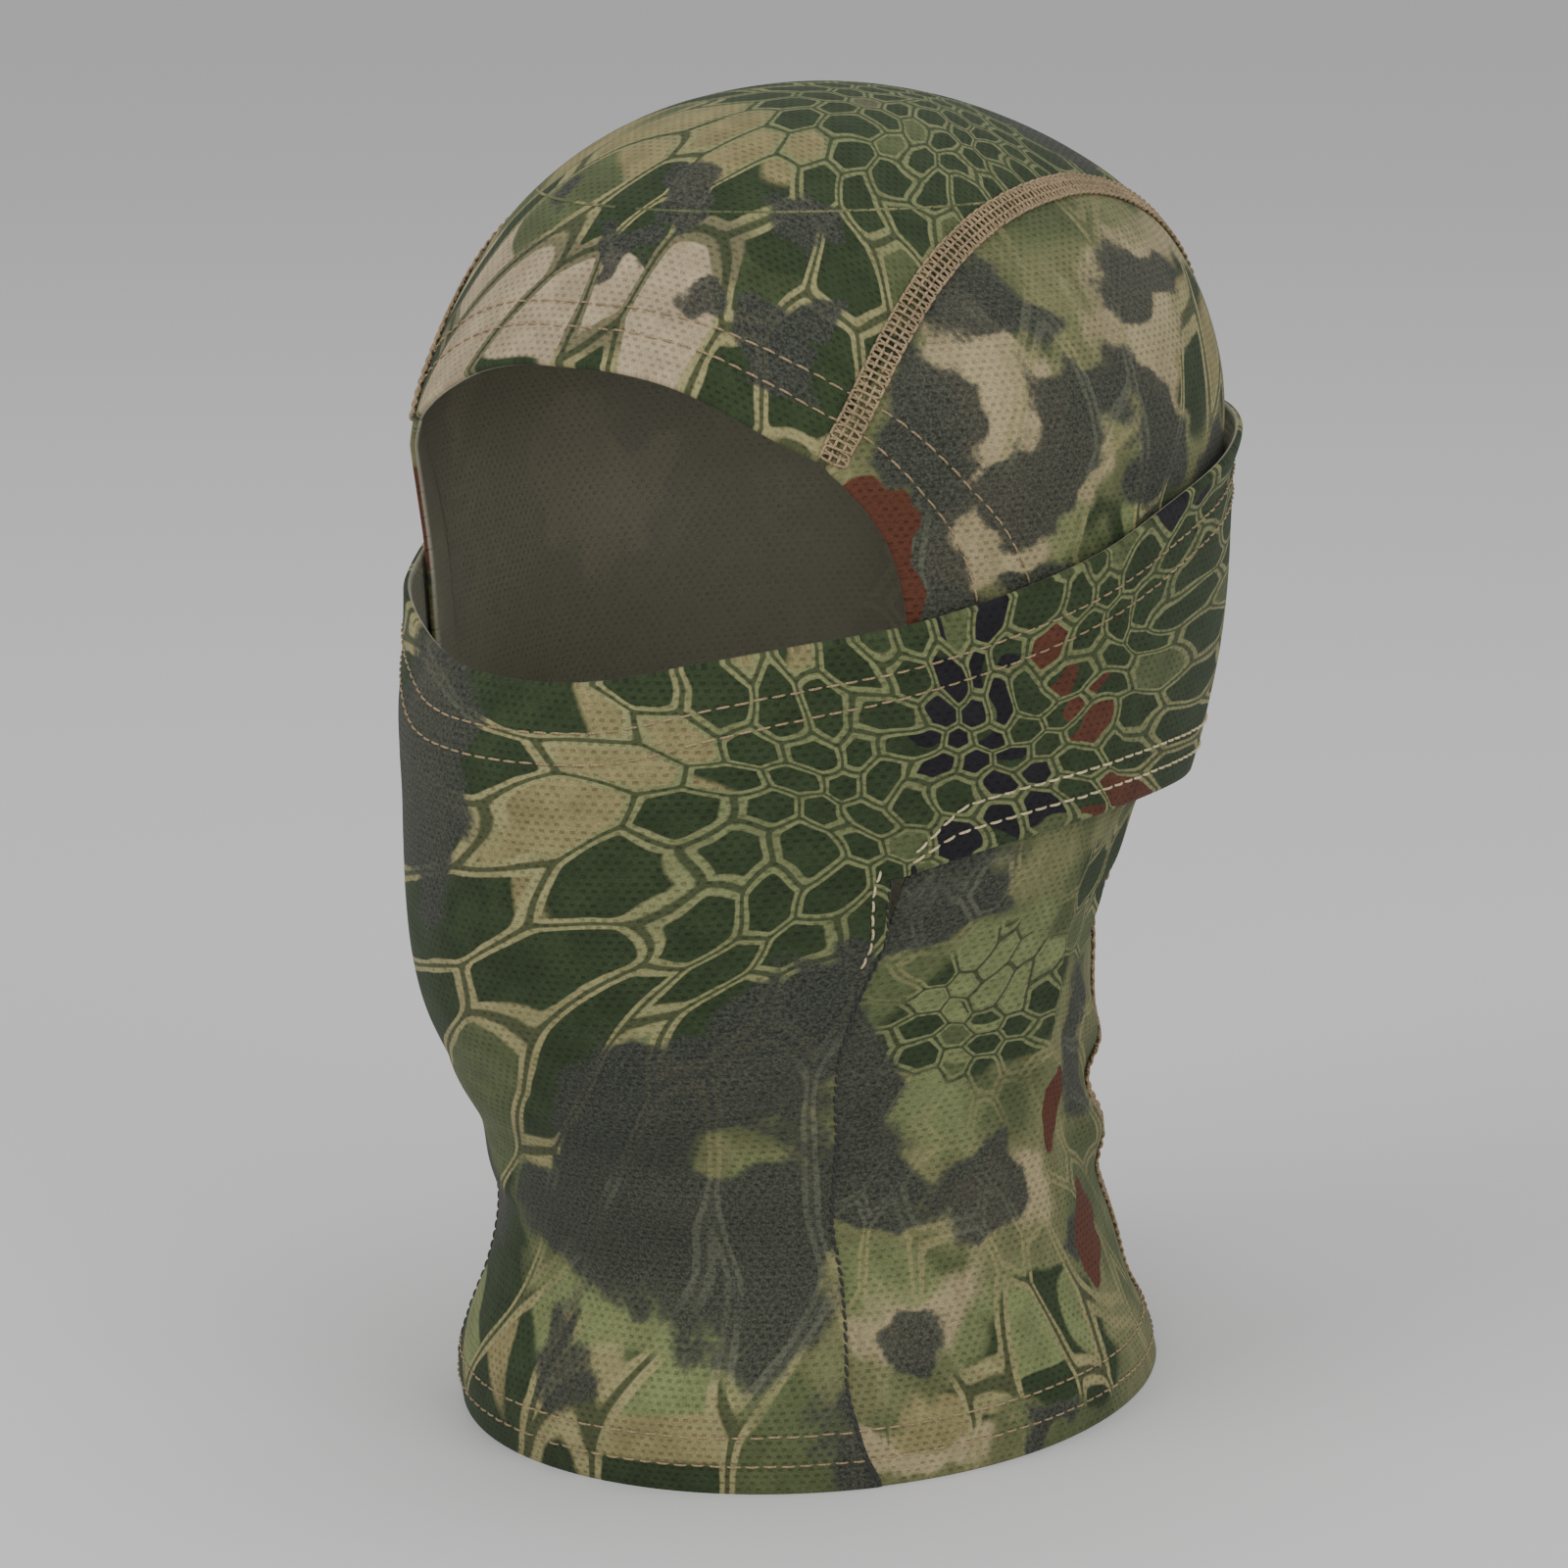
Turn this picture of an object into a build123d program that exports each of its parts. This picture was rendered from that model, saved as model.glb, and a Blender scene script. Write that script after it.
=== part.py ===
from build123d import *
import math
import os

os.makedirs("parts", exist_ok=True)

# One-hole stretch hood (balaclava), worn shape, millimetres. +Z is up, the face looks along -Y,
# the wearer's left is +X, and the bottom hem lies on Z = 0.

# ---------------------------------------------------------------- driving dimensions
CENTRE_Y = 0.3            # moves the whole hood so that its box is centred on the origin
CLOTH = 1.0               # thickness of the knitted cloth
THREAD_R = 0.34           # radius of a sewn thread row
THREAD_GAP = 0.06         # air between a thread row and the cloth under it
SEAM_GAP = 0.4            # gap between two panels where a seam joins them
TRIM_LIFT = 1.0           # height at which the crown seams end above the hem's edge
FLATLOCK_W = 5.6          # width of the flat crown seams
FLATLOCK_T = 0.3          # height of the flat crown seams
RING_POINTS = 24          # points round each horizontal section
COVER_LOW_Z = 92.0        # lower end of the stiffer part of the face cover, at the chin
NECK_TOP_Z = 98.0         # upper end of the neck front, tucked behind the cover
SEAM_TOP_Z = 128.6        # corner where the cover's wings leave the side seams
BROW_Z = 204.0            # in front of the middle the crown strip exists only above this

# Horizontal sections of the hood and neck layer, outer face:
# height, half width, reach forward, reach back, front point, back point.
HEAD = [
    (0.0, 70.5, 82.5, 86.0, 1.00, 1.00),
    (8.0, 70.5, 84.5, 81.0, 1.00, 1.00),
    (18.0, 67.0, 84.0, 74.0, 1.00, 1.00),
    (30.0, 63.5, 78.0, 71.5, 1.00, 1.05),
    (42.0, 61.5, 75.5, 66.5, 1.00, 1.08),
    (54.0, 60.5, 80.0, 64.5, 1.02, 1.10),
    (68.0, 60.3, 86.0, 63.5, 1.05, 1.20),
    (82.0, 61.5, 95.0, 66.0, 1.05, 1.30),
    (94.0, 63.0, 101.5, 66.0, 1.05, 1.40),
    (106.0, 65.0, 104.0, 66.0, 1.08, 1.45),
    (116.0, 67.5, 104.5, 70.0, 1.14, 1.45),
    (126.0, 70.0, 104.5, 77.0, 1.20, 1.35),
    (138.0, 72.5, 104.0, 86.0, 1.25, 1.20),
    (150.0, 74.5, 102.0, 93.5, 1.25, 1.10),
    (164.0, 76.2, 98.0, 99.0, 1.18, 1.02),
    (180.0, 77.0, 94.5, 102.0, 1.10, 1.00),
    (194.0, 77.6, 93.5, 103.5, 1.04, 1.00),
    (206.0, 78.0, 93.0, 104.2, 1.00, 1.00),
    (216.0, 77.4, 89.5, 103.8, 1.00, 1.00),
    (226.0, 75.0, 84.0, 102.0, 1.00, 1.00),
    (236.0, 70.8, 78.5, 98.4, 1.00, 1.00),
    (246.0, 64.5, 73.0, 91.6, 1.00, 1.00),
    (255.0, 56.8, 66.8, 81.5, 1.00, 1.00),
    (263.0, 47.6, 58.4, 67.5, 1.00, 1.00),
    (270.5, 35.8, 46.4, 50.0, 1.00, 1.00),
    (275.5, 24.0, 32.0, 33.0, 1.00, 1.00),
    (278.4, 9.0, 12.5, 12.5, 1.00, 1.00),
]

# Horizontal sections of the face cover and its wings, outer face.
COVER = [
    (84.0, 63.6, 98.0, 86.0, 1.05, 1.00),
    (94.0, 65.2, 103.6, 88.0, 1.05, 1.00),
    (106.0, 67.4, 107.4, 90.0, 1.08, 1.00),
    (118.0, 70.4, 108.6, 91.5, 1.16, 1.00),
    (129.0, 73.6, 108.4, 93.5, 1.26, 1.00),
    (140.0, 76.3, 108.2, 97.5, 1.35, 1.00),
    (148.0, 77.6, 108.0, 100.0, 1.35, 1.00),
    (156.0, 78.8, 106.4, 102.2, 1.30, 1.00),
    (164.0, 79.5, 102.4, 104.0, 1.22, 1.00),
    (173.0, 80.0, 98.8, 105.4, 1.14, 1.00),
    (184.0, 80.2, 96.8, 106.2, 1.08, 1.00),
    (196.0, 80.4, 96.0, 106.6, 1.03, 1.00),
    (214.0, 80.6, 95.6, 106.8, 1.00, 1.00),
]

# Face opening and, below it, the two side seams: half width at each height, seen from the front.
OPENING = [
    (0.0, 229.7), (12.0, 229.3), (25.0, 226.8), (36.7, 221.9), (46.5, 216.2), (52.0, 212.4),
    (56.7, 206.5), (60.4, 197.6), (62.0, 187.7), (62.3, 179.0), (61.6, 154.0), (59.6, SEAM_TOP_Z),
]
SIDE_SEAM = [
    (59.6, SEAM_TOP_Z), (56.6, 116.0), (53.0, 104.0), (49.6, 91.0), (46.9, 76.0),
    (45.0, 64.0), (44.2, 51.0), (45.6, 36.0), (49.0, 21.0), (52.6, 10.0), (54.8, 0.0),
]

# Crown strip: half width at each distance behind the origin, seen from above.
CROWN_STRIP = [
    (-120.0, 51.6), (-70.0, 52.0), (-62.0, 54.2), (-50.0, 55.4), (-36.0, 55.6), (-18.0, 54.8),
    (4.0, 52.8), (26.0, 49.6), (50.0, 46.0), (74.0, 42.6), (96.0, 39.0), (120.0, 37.0),
]

# Edges of the cover and wings seen from the side: distance behind the origin, height.
WING_TOP = [
    (-112.0, 167.4), (-100.0, 168.7), (-88.0, 173.0), (-75.0, 176.2), (-57.0, 179.0),
    (-41.0, 182.3), (-17.0, 187.5), (19.5, 196.6), (60.0, 203.6), (90.0, 206.4), (112.0, 207.2),
]
WING_BOTTOM = [
    (-56.4, SEAM_TOP_Z), (-36.0, 132.0), (-20.0, 133.6), (2.0, 135.0), (32.0, 134.4),
    (62.0, 132.0), (90.0, 130.0), (112.0, 129.4),
]
CHIN_EDGE = [(-60.4, COVER_LOW_Z), (-60.0, 104.0), (-58.0, 116.0)]

# Distances of the sewn rows from the edge they follow.
OPENING_ROWS = (6.5, 11.0)
COVER_TOP_ROWS = (8.0, 13.5)
WING_BOTTOM_ROWS = (5.0, 10.5)
HEM_ROWS = (6.0, 12.0)


# ---------------------------------------------------------------- shape of the two layers
def along(edge, y):
    """Height of an edge drawn from the side, joined by straight lines between its points."""
    if y <= edge[0][0]:
        return edge[0][1]
    for low, high in zip(edge, edge[1:]):
        if y <= high[0]:
            return low[1] + (y - low[0]) / (high[0] - low[0]) * (high[1] - low[1])
    return edge[-1][1]


def smooth(place, column):
    """Value of one column of a layer's sections at a height, on a smooth curve through its rows."""
    table, height = place
    heights = [row[0] for row in table]
    index = max(0, min(len(table) - 2, sum(1 for value in heights if value <= height) - 1))
    low, high = table[index], table[index + 1]
    before, after = table[max(0, index - 1)], table[min(len(table) - 1, index + 2)]
    step = high[0] - low[0]
    slope_low = (high[column] - before[column]) / (high[0] - before[0]) * step
    slope_high = (after[column] - low[column]) / (after[0] - low[0]) * step
    share = (height - low[0]) / step
    rise = high[column] - low[column]
    bend = (1.0 - share) * (slope_low - rise) - share * (slope_high - rise)
    return low[column] + share * rise + share * (1.0 - share) * bend


def section(row, inset):
    """Closed list of points round one horizontal section, moved in by the inset."""
    height, half_width, front, back, front_point, back_point = row
    points = []
    for index in range(RING_POINTS):
        turn = 2.0 * math.pi * index / RING_POINTS
        across = math.sin(turn)
        ahead = math.cos(turn)
        x = (half_width - inset) * across
        if ahead >= 0.0:
            y = -(front - inset) * ahead ** front_point
        else:
            y = (back - inset) * abs(ahead) ** back_point
        points.append((x, y + CENTRE_Y))
    return points


def surface_point(table, turn, height, outset):
    """Point of a layer's outer face at a turn from straight ahead, moved out by the outset."""
    place = (table, height)
    ahead = math.cos(turn)
    x = (smooth(place, 1) + outset) * math.sin(turn)
    if ahead >= 0.0:
        y = -(smooth(place, 2) + outset) * ahead ** smooth(place, 4)
    else:
        y = (smooth(place, 3) + outset) * abs(ahead) ** smooth(place, 5)
    return (x, y + CENTRE_Y, height)


def front_point(table, x, height, outset):
    """Point on the front half of a layer straight behind a point seen from the front."""
    half_width = smooth((table, height), 1) + outset
    turn = math.asin(max(-1.0, min(1.0, x / half_width)))
    return surface_point(table, turn, height, outset)


def edge_point(table, edge, turn, shift, outset):
    """Point at a turn on an edge drawn from the side, moved up by the shift."""
    height = edge[0][1]
    for _ in range(12):
        y = surface_point(table, turn, height, 0.0)[1] - CENTRE_Y
        height = along(edge, y) + shift
    return surface_point(table, turn, height, outset)


def layer(table, inset, low, high):
    """Solid body inside one face of a layer, between two of its heights."""
    with BuildPart() as body:
        for row in table:
            if low <= row[0] <= high:
                with BuildSketch(Plane.XY.offset(row[0])):
                    with BuildLine():
                        Spline(*section(row, inset), periodic=True)
                    make_face()
        loft()
    return body.part


def lowered(table, drop):
    """The same sections moved down, so that an inner face also lies under the crown."""
    return [(max(0.0, row[0] - drop * max(0.0, (row[0] - 226.0) / 52.0)),) + row[1:] for row in table]


def thread(points, closed=False):
    """Round thread laid through a line of points."""
    with BuildPart() as strand:
        with BuildLine() as path:
            Spline(*points, periodic=closed)
        with BuildSketch(Plane(origin=path.line @ 0, z_dir=path.line % 0)):
            Circle(THREAD_R)
        sweep()
    return strand.part


def span(first, last, count):
    """Evenly spaced values from first to last."""
    return [first + (last - first) * index / (count - 1) for index in range(count)]


# ---------------------------------------------------------------- cutting shapes
def front_window(edge, grow, low):
    """Shape in front of the middle bounded by an edge drawn from the front, down to a height."""
    left = [(x + grow, z) for x, z in edge]
    right = [(-x, z) for x, z in reversed(left) if x > 0.0]
    outline = left + [(left[-1][0], low), (right[0][0], low)] + right
    with BuildPart() as window:
        with BuildSketch(Plane.XZ):
            with BuildLine():
                Polyline(*(outline + [outline[0]]))
            make_face()
        extrude(amount=140.0)
    return window.part


def brow_cut():
    """Space in front of the middle and below the brow, where there is no crown strip."""
    with BuildPart() as block:
        with Locations((0.0, CENTRE_Y, BROW_Z)):
            Box(300.0, 200.0, 300.0, align=(Align.CENTER, Align.MAX, Align.MAX))
    return block.part


def crown_zone(grow):
    """Upright shape of the centre strip, made wider on both sides by the growth."""
    edge = [(w + grow, y + CENTRE_Y) for y, w in CROWN_STRIP]
    outline = edge + [(-x, y) for x, y in reversed(edge)]
    with BuildPart() as zone:
        with BuildSketch(Plane.XY.offset(-5.0)):
            with BuildLine():
                Polyline(*(outline + [outline[0]]))
            make_face()
        extrude(amount=305.0)
        add(brow_cut(), mode=Mode.SUBTRACT)
    return zone.part


def save(solid, node):
    """Label a finished node and write it."""
    solid.label = node
    export_step(solid, "parts/" + node + ".step")


def side_shape(outline):
    """Shape as wide as the hood with an outline drawn from the side."""
    with BuildPart() as slab:
        with BuildSketch(Plane.YZ):
            with BuildLine():
                Polyline(*(outline + [outline[0]]))
            make_face()
        extrude(amount=100.0, both=True)
    return slab.part


def moved_edge(edge, distance):
    """Edge drawn from the front, moved outwards square to itself."""
    points = []
    for index, (x, z) in enumerate(edge):
        before = edge[max(0, index - 1)]
        after = edge[min(len(edge) - 1, index + 1)]
        run = after[0] - before[0]
        drop = before[1] - after[1]
        length = math.hypot(run, drop)
        points.append((x + distance * drop / length, z + distance * run / length))
    return points


# ---------------------------------------------------------------- hood and neck layer
head_outer = layer(HEAD, 0.0, 0.0, 300.0)
head_inner = layer(lowered(HEAD, CLOTH), CLOTH, 0.0, 300.0)
whole_front = front_window(OPENING + SIDE_SEAM[1:], 0.0, -5.0)
neck_front = front_window([(51.4, NECK_TOP_Z)] + SIDE_SEAM[3:], -SEAM_GAP, -5.0)

with BuildPart() as crown_panel:
    add(head_outer)
    add(head_inner, mode=Mode.SUBTRACT)
    add(crown_zone(0.0), mode=Mode.INTERSECT)
    add(whole_front, mode=Mode.SUBTRACT)
save(crown_panel.part, "crown_panel")

with BuildPart() as left_hood_panel:
    add(head_outer)
    add(head_inner, mode=Mode.SUBTRACT)
    with Locations((20.0, 0.0, -5.0)):
        Box(100.0, 300.0, 300.0, align=(Align.MIN, Align.CENTER, Align.MIN), mode=Mode.INTERSECT)
    add(crown_zone(SEAM_GAP), mode=Mode.SUBTRACT)
    add(whole_front, mode=Mode.SUBTRACT)
save(left_hood_panel.part, "left_hood_panel")

right_hood_panel = mirror(left_hood_panel.part, about=Plane.YZ)
save(right_hood_panel, "right_hood_panel")

with BuildPart() as neck_front_panel:
    add(layer(HEAD, 0.0, 0.0, 110.0))
    add(layer(HEAD, CLOTH, 0.0, 110.0), mode=Mode.SUBTRACT)
    add(neck_front, mode=Mode.INTERSECT)
save(neck_front_panel.part, "neck_front_panel")

# ---------------------------------------------------------------- face cover with its two wings
cover_outline = [(-125.0, COVER_LOW_Z)] + CHIN_EDGE + WING_BOTTOM
cover_outline += list(reversed(WING_TOP)) + [(-125.0, 167.4)]

with BuildPart() as face_cover:
    add(layer(COVER, 0.0, 0.0, 300.0))
    add(layer(COVER, CLOTH, 0.0, 300.0), mode=Mode.SUBTRACT)
    add(side_shape([(y + CENTRE_Y, z) for y, z in cover_outline]), mode=Mode.INTERSECT)
    with Locations((0.0, 60.0, 150.0)):
        Box(SEAM_GAP, 120.0, 200.0, mode=Mode.SUBTRACT)
save(face_cover.part, "face_cover")

# ---------------------------------------------------------------- flat seams beside the crown strip
with BuildPart() as left_crown_seam:
    add(layer(HEAD, -THREAD_GAP - FLATLOCK_T, 0.0, 300.0))
    add(layer(HEAD, -THREAD_GAP, 0.0, 300.0), mode=Mode.SUBTRACT)
    with Locations((20.0, 0.0, TRIM_LIFT)):
        Box(100.0, 300.0, 300.0, align=(Align.MIN, Align.CENTER, Align.MIN), mode=Mode.INTERSECT)
    add(crown_zone(FLATLOCK_W / 2.0), mode=Mode.INTERSECT)
    add(crown_zone(-FLATLOCK_W / 2.0), mode=Mode.SUBTRACT)
    add(whole_front, mode=Mode.SUBTRACT)
save(left_crown_seam.part, "left_crown_seam")
save(mirror(left_crown_seam.part, about=Plane.YZ), "right_crown_seam")

# ---------------------------------------------------------------- sewn rows on the hood and neck
lift = THREAD_R + THREAD_GAP

for side, node in ((1.0, "left_side_seam"), (-1.0, "right_side_seam")):
    line = [front_point(HEAD, side * x, z, lift) for x, z in SIDE_SEAM[:-1]]
    line.append(front_point(HEAD, side * 54.4, TRIM_LIFT, lift))
    save(thread(line), node)

for distance, node in zip(OPENING_ROWS, ("opening_inner_row", "opening_outer_row")):
    half = moved_edge(OPENING, distance)
    left = [front_point(HEAD, x, z, lift) for x, z in reversed(half[1:-1])]
    right = [front_point(HEAD, -x, z, lift) for x, z in half[:-1]]
    save(thread(left + right), node)

for height, node in zip(HEM_ROWS, ("hem_lower_row", "hem_upper_row")):
    turns = [2.0 * math.pi * index / 32 for index in range(32)]
    save(thread([surface_point(HEAD, turn, height, lift) for turn in turns], True), node)

# ---------------------------------------------------------------- sewn rows on the face cover
for distance, node in zip(COVER_TOP_ROWS, ("cover_top_upper_row", "cover_top_lower_row")):
    turns = span(math.radians(-179.4), math.radians(179.4), 49)
    save(thread([edge_point(COVER, WING_TOP, turn, -distance, lift) for turn in turns]), node)

for distance, node in zip(WING_BOTTOM_ROWS, ("wing_bottom_lower_row", "wing_bottom_upper_row")):
    turns = span(math.radians(57.0), math.radians(303.0), 36)
    save(thread([edge_point(COVER, WING_BOTTOM, turn, distance, lift) for turn in turns]), node)

for side, node in ((1.0, "left_corner_tack"), (-1.0, "right_corner_tack")):
    tack = [(60.6, 131.5), (57.0, 124.0), (54.2, 117.0), (52.4, 111.0)]
    save(thread([front_point(COVER, side * x, z, lift) for x, z in tack]), node)

back_line = [surface_point(COVER, math.pi, height, lift + 2.0 * THREAD_R) for height in span(132.0, 204.0, 8)]
save(thread(back_line), "band_back_seam")
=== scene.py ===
import math
import bpy
import numpy as np
from mathutils import Matrix, Vector


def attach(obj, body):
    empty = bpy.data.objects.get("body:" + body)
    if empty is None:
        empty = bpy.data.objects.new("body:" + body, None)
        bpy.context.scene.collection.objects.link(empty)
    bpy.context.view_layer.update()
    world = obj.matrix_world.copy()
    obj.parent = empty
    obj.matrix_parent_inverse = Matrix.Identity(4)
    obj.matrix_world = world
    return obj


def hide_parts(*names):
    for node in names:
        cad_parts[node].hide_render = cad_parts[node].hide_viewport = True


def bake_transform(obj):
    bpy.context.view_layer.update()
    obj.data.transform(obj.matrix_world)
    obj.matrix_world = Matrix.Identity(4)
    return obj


# One-hole camouflage hood, modelled as worn. Lengths below are millimetres until a mesh is written.
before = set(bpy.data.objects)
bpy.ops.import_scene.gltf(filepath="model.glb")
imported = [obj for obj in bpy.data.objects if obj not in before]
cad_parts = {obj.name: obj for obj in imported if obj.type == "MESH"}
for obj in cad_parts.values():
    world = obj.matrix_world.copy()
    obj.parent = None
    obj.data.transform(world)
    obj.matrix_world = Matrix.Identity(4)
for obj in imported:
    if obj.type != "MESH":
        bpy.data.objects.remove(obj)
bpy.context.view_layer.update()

MM = 0.001
CENTRE_Y = 0.3
SEAM_TOP_Z = 128.6
DOME_Z = 206.0
DOME_RISE = 73.0

# The corner where opening and side seam meet, and the cover's half width at its height.
CORNER_X = 59.6
CORNER_HALF_WIDTH = 73.4

# Up to these heights an edge follows the side of the opening; above them it follows the crown strip.
OPENING_SIDE_TOP = 213.0
SIDE_FRONT_TOP = 211.6
SIDE_PANEL_TOP = 258.7
NO_EDGE = 400.0

# Distances of the sewn rows from the edge they follow.
OPENING_ROWS = (6.5, 11.0)
COVER_TOP_ROWS = (8.0, 13.5)
WING_BOTTOM_ROWS = (5.0, 10.5)
HEM_ROWS = (6.0, 12.0)
ON_CLOTH = 0.05
MIDDLE_GAP = 0.05

# Stitches: pitch, length, thread radius, rise above the cloth.
TAN_STITCH = (3.7, 2.9, 0.24, 0.16)
CREAM_STITCH = (3.9, 3.2, 0.3, 0.2)
TACK_STITCH = (3.2, 2.6, 0.3, 0.22)
SIDE_STITCH = (2.3, 2.1, 0.34, 0.18)
BAND_STITCH = (2.3, 2.1, 0.36, 0.2)
NEEDLE_STITCH = (2.6, 2.35, 0.3, 0.28)
rng = np.random.default_rng(7)

# ------------------------------------------------------------------ the two layers
# Horizontal sections: height, half width, reach forward, reach back, front point, back point.
HEAD = np.array([
    (0.0, 70.5, 82.5, 86.0, 1.00, 1.00), (8.0, 70.5, 84.5, 81.0, 1.00, 1.00),
    (18.0, 67.0, 84.0, 74.0, 1.00, 1.00), (30.0, 63.5, 78.0, 71.5, 1.00, 1.05),
    (42.0, 61.5, 75.5, 66.5, 1.00, 1.08), (54.0, 60.5, 80.0, 64.5, 1.02, 1.10),
    (68.0, 60.3, 86.0, 63.5, 1.05, 1.20), (82.0, 61.5, 95.0, 66.0, 1.05, 1.30),
    (94.0, 63.0, 101.5, 66.0, 1.05, 1.40), (106.0, 65.0, 104.0, 66.0, 1.08, 1.45),
    (116.0, 67.5, 104.5, 70.0, 1.14, 1.45), (126.0, 70.0, 104.5, 77.0, 1.20, 1.35),
    (138.0, 72.5, 104.0, 86.0, 1.25, 1.20), (150.0, 74.5, 102.0, 93.5, 1.25, 1.10),
    (164.0, 76.2, 98.0, 99.0, 1.18, 1.02), (180.0, 77.0, 94.5, 102.0, 1.10, 1.00),
    (194.0, 77.6, 93.5, 103.5, 1.04, 1.00), (206.0, 78.0, 93.0, 104.2, 1.00, 1.00),
])
DOME = np.array([
    (206.0, 78.0, 93.0, 104.2), (216.0, 77.4, 89.5, 103.8), (226.0, 75.0, 84.0, 102.0),
    (236.0, 70.8, 78.5, 98.4), (246.0, 64.5, 73.0, 91.6), (255.0, 56.8, 66.8, 81.5),
    (263.0, 47.6, 58.4, 67.5), (270.5, 35.8, 46.4, 50.0), (275.5, 24.0, 32.0, 33.0),
])
COVER = np.array([
    (84.0, 63.6, 98.0, 86.0, 1.05, 1.00), (94.0, 65.2, 103.6, 88.0, 1.05, 1.00),
    (106.0, 67.4, 107.4, 90.0, 1.08, 1.00), (118.0, 70.4, 108.6, 91.5, 1.16, 1.00),
    (129.0, 73.6, 108.4, 93.5, 1.26, 1.00), (140.0, 76.3, 108.2, 97.5, 1.35, 1.00),
    (148.0, 77.6, 108.0, 100.0, 1.35, 1.00), (156.0, 78.8, 106.4, 102.2, 1.30, 1.00),
    (164.0, 79.5, 102.4, 104.0, 1.22, 1.00), (173.0, 80.0, 98.8, 105.4, 1.14, 1.00),
    (184.0, 80.2, 96.8, 106.2, 1.08, 1.00), (196.0, 80.4, 96.0, 106.6, 1.03, 1.00),
    (214.0, 80.6, 95.6, 106.8, 1.00, 1.00),
])

# Edges seen from the front: half width, height.
OPENING = [
    (0.0, 229.7), (12.0, 229.3), (25.0, 226.8), (36.7, 221.9), (46.5, 216.2), (52.0, 212.4),
    (56.7, 206.5), (60.4, 197.6), (62.0, 187.7), (62.3, 179.0), (61.6, 154.0), (CORNER_X, SEAM_TOP_Z),
]
SIDE_SEAM = [
    (CORNER_X, SEAM_TOP_Z), (56.6, 116.0), (53.0, 104.0), (49.6, 91.0), (46.9, 76.0),
    (45.0, 64.0), (44.2, 51.0), (45.6, 36.0), (49.0, 21.0), (52.6, 10.0), (54.8, 0.0),
]

# Crown strip seen from above: distance behind the origin, half width.
CROWN_STRIP = [
    (-120.0, 51.6), (-70.0, 52.0), (-62.0, 54.2), (-50.0, 55.4), (-36.0, 55.6), (-18.0, 54.8),
    (4.0, 52.8), (26.0, 49.6), (50.0, 46.0), (74.0, 42.6), (96.0, 39.0), (120.0, 37.0),
]

# Edges of the cover and wings seen from the side: distance behind the origin, height.
WING_TOP = [
    (-112.0, 167.4), (-100.0, 168.7), (-88.0, 173.0), (-75.0, 176.2), (-57.0, 179.0),
    (-41.0, 182.3), (-17.0, 187.5), (19.5, 196.6), (60.0, 203.6), (90.0, 206.4), (112.0, 207.2),
]
WING_BOTTOM = [
    (-56.4, SEAM_TOP_Z), (-36.0, 132.0), (-20.0, 133.6), (2.0, 135.0), (32.0, 134.4),
    (62.0, 132.0), (90.0, 130.0), (112.0, 129.4),
]


def hermite(xs, ys, x):
    """Smooth curve through (xs, ys), read at x."""
    xs = np.asarray(xs, float)
    ys = np.asarray(ys, float)
    slopes = np.gradient(ys, xs)
    x = np.clip(x, xs[0], xs[-1])
    i = np.clip(np.searchsorted(xs, x, side="right") - 1, 0, len(xs) - 2)
    step = xs[i + 1] - xs[i]
    t = (x - xs[i]) / step
    rise = ys[i + 1] - ys[i]
    bend = (1 - t) * (slopes[i] * step - rise) - t * (slopes[i + 1] * step - rise)
    return ys[i] + t * rise + t * (1 - t) * bend


def run_along(points):
    """Distance travelled along a path at each of its points."""
    return np.concatenate([[0], np.cumsum(np.linalg.norm(np.diff(points, axis=0), axis=1))])


def fine(points, per=12):
    """Denser, smooth version of a drawn edge."""
    points = np.array(points, float)
    run = run_along(points)
    at = np.linspace(0, run[-1], per * len(points))
    return np.stack([hermite(run, points[:, 0], at), hermite(run, points[:, 1], at)], 1)


arch_line = fine(OPENING)
seam_line = fine(SIDE_SEAM)
strip_line = fine(CROWN_STRIP)
wing_top_line = fine(WING_TOP)
wing_bottom_line = fine(WING_BOTTOM)


def read(line, key):
    """Second value of an edge at a first value."""
    return np.interp(key, line[:, 0], line[:, 1])


def strip_half(y):
    """Half width of the crown strip at a distance behind the origin."""
    return read(strip_line, y)


def arch_z(x):
    """Height of the brow edge at a distance from the middle."""
    keep = arch_line[:, 1] > 196
    return np.interp(np.abs(x), arch_line[keep, 0], arch_line[keep, 1])


def opening_x(z):
    """Half width of the opening or, below the corner, of the front cloth."""
    line = np.concatenate([arch_line[arch_line[:, 1] < OPENING_SIDE_TOP], seam_line[1:]])[::-1]
    return np.interp(z, line[:, 1], line[:, 0])


dome_angle = np.arcsin((DOME[:, 0] - DOME_Z) / DOME_RISE)
dome_ratio = DOME[:, 1:] / (DOME[0, 1:] * np.cos(dome_angle)[:, None])


def sizes(table, z):
    """Half width, reach forward, reach back, front point and back point at a height."""
    z = np.asarray(z, float)
    cols = [hermite(table[:, 0], table[:, k], z) for k in range(1, 6)]
    if table is HEAD:
        turn = np.arcsin(np.clip((z - DOME_Z) / DOME_RISE, 0, 1))
        for k in range(3):
            over = DOME[0, k + 1] * np.cos(turn) * hermite(dome_angle, dome_ratio[:, k], turn)
            cols[k] = np.where(z > DOME_Z, np.maximum(over, 0.01), cols[k])
    return cols


def place(table, turn, z):
    """Point of a layer at a turn from straight ahead."""
    a, front, back, p, q = sizes(table, z)
    ahead = np.cos(turn)
    size = np.abs(ahead)
    y = np.where(ahead >= 0, -front * size ** p, back * size ** q)
    return np.stack(np.broadcast_arrays(a * np.sin(turn), y, np.asarray(z, float)), -1)


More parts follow.
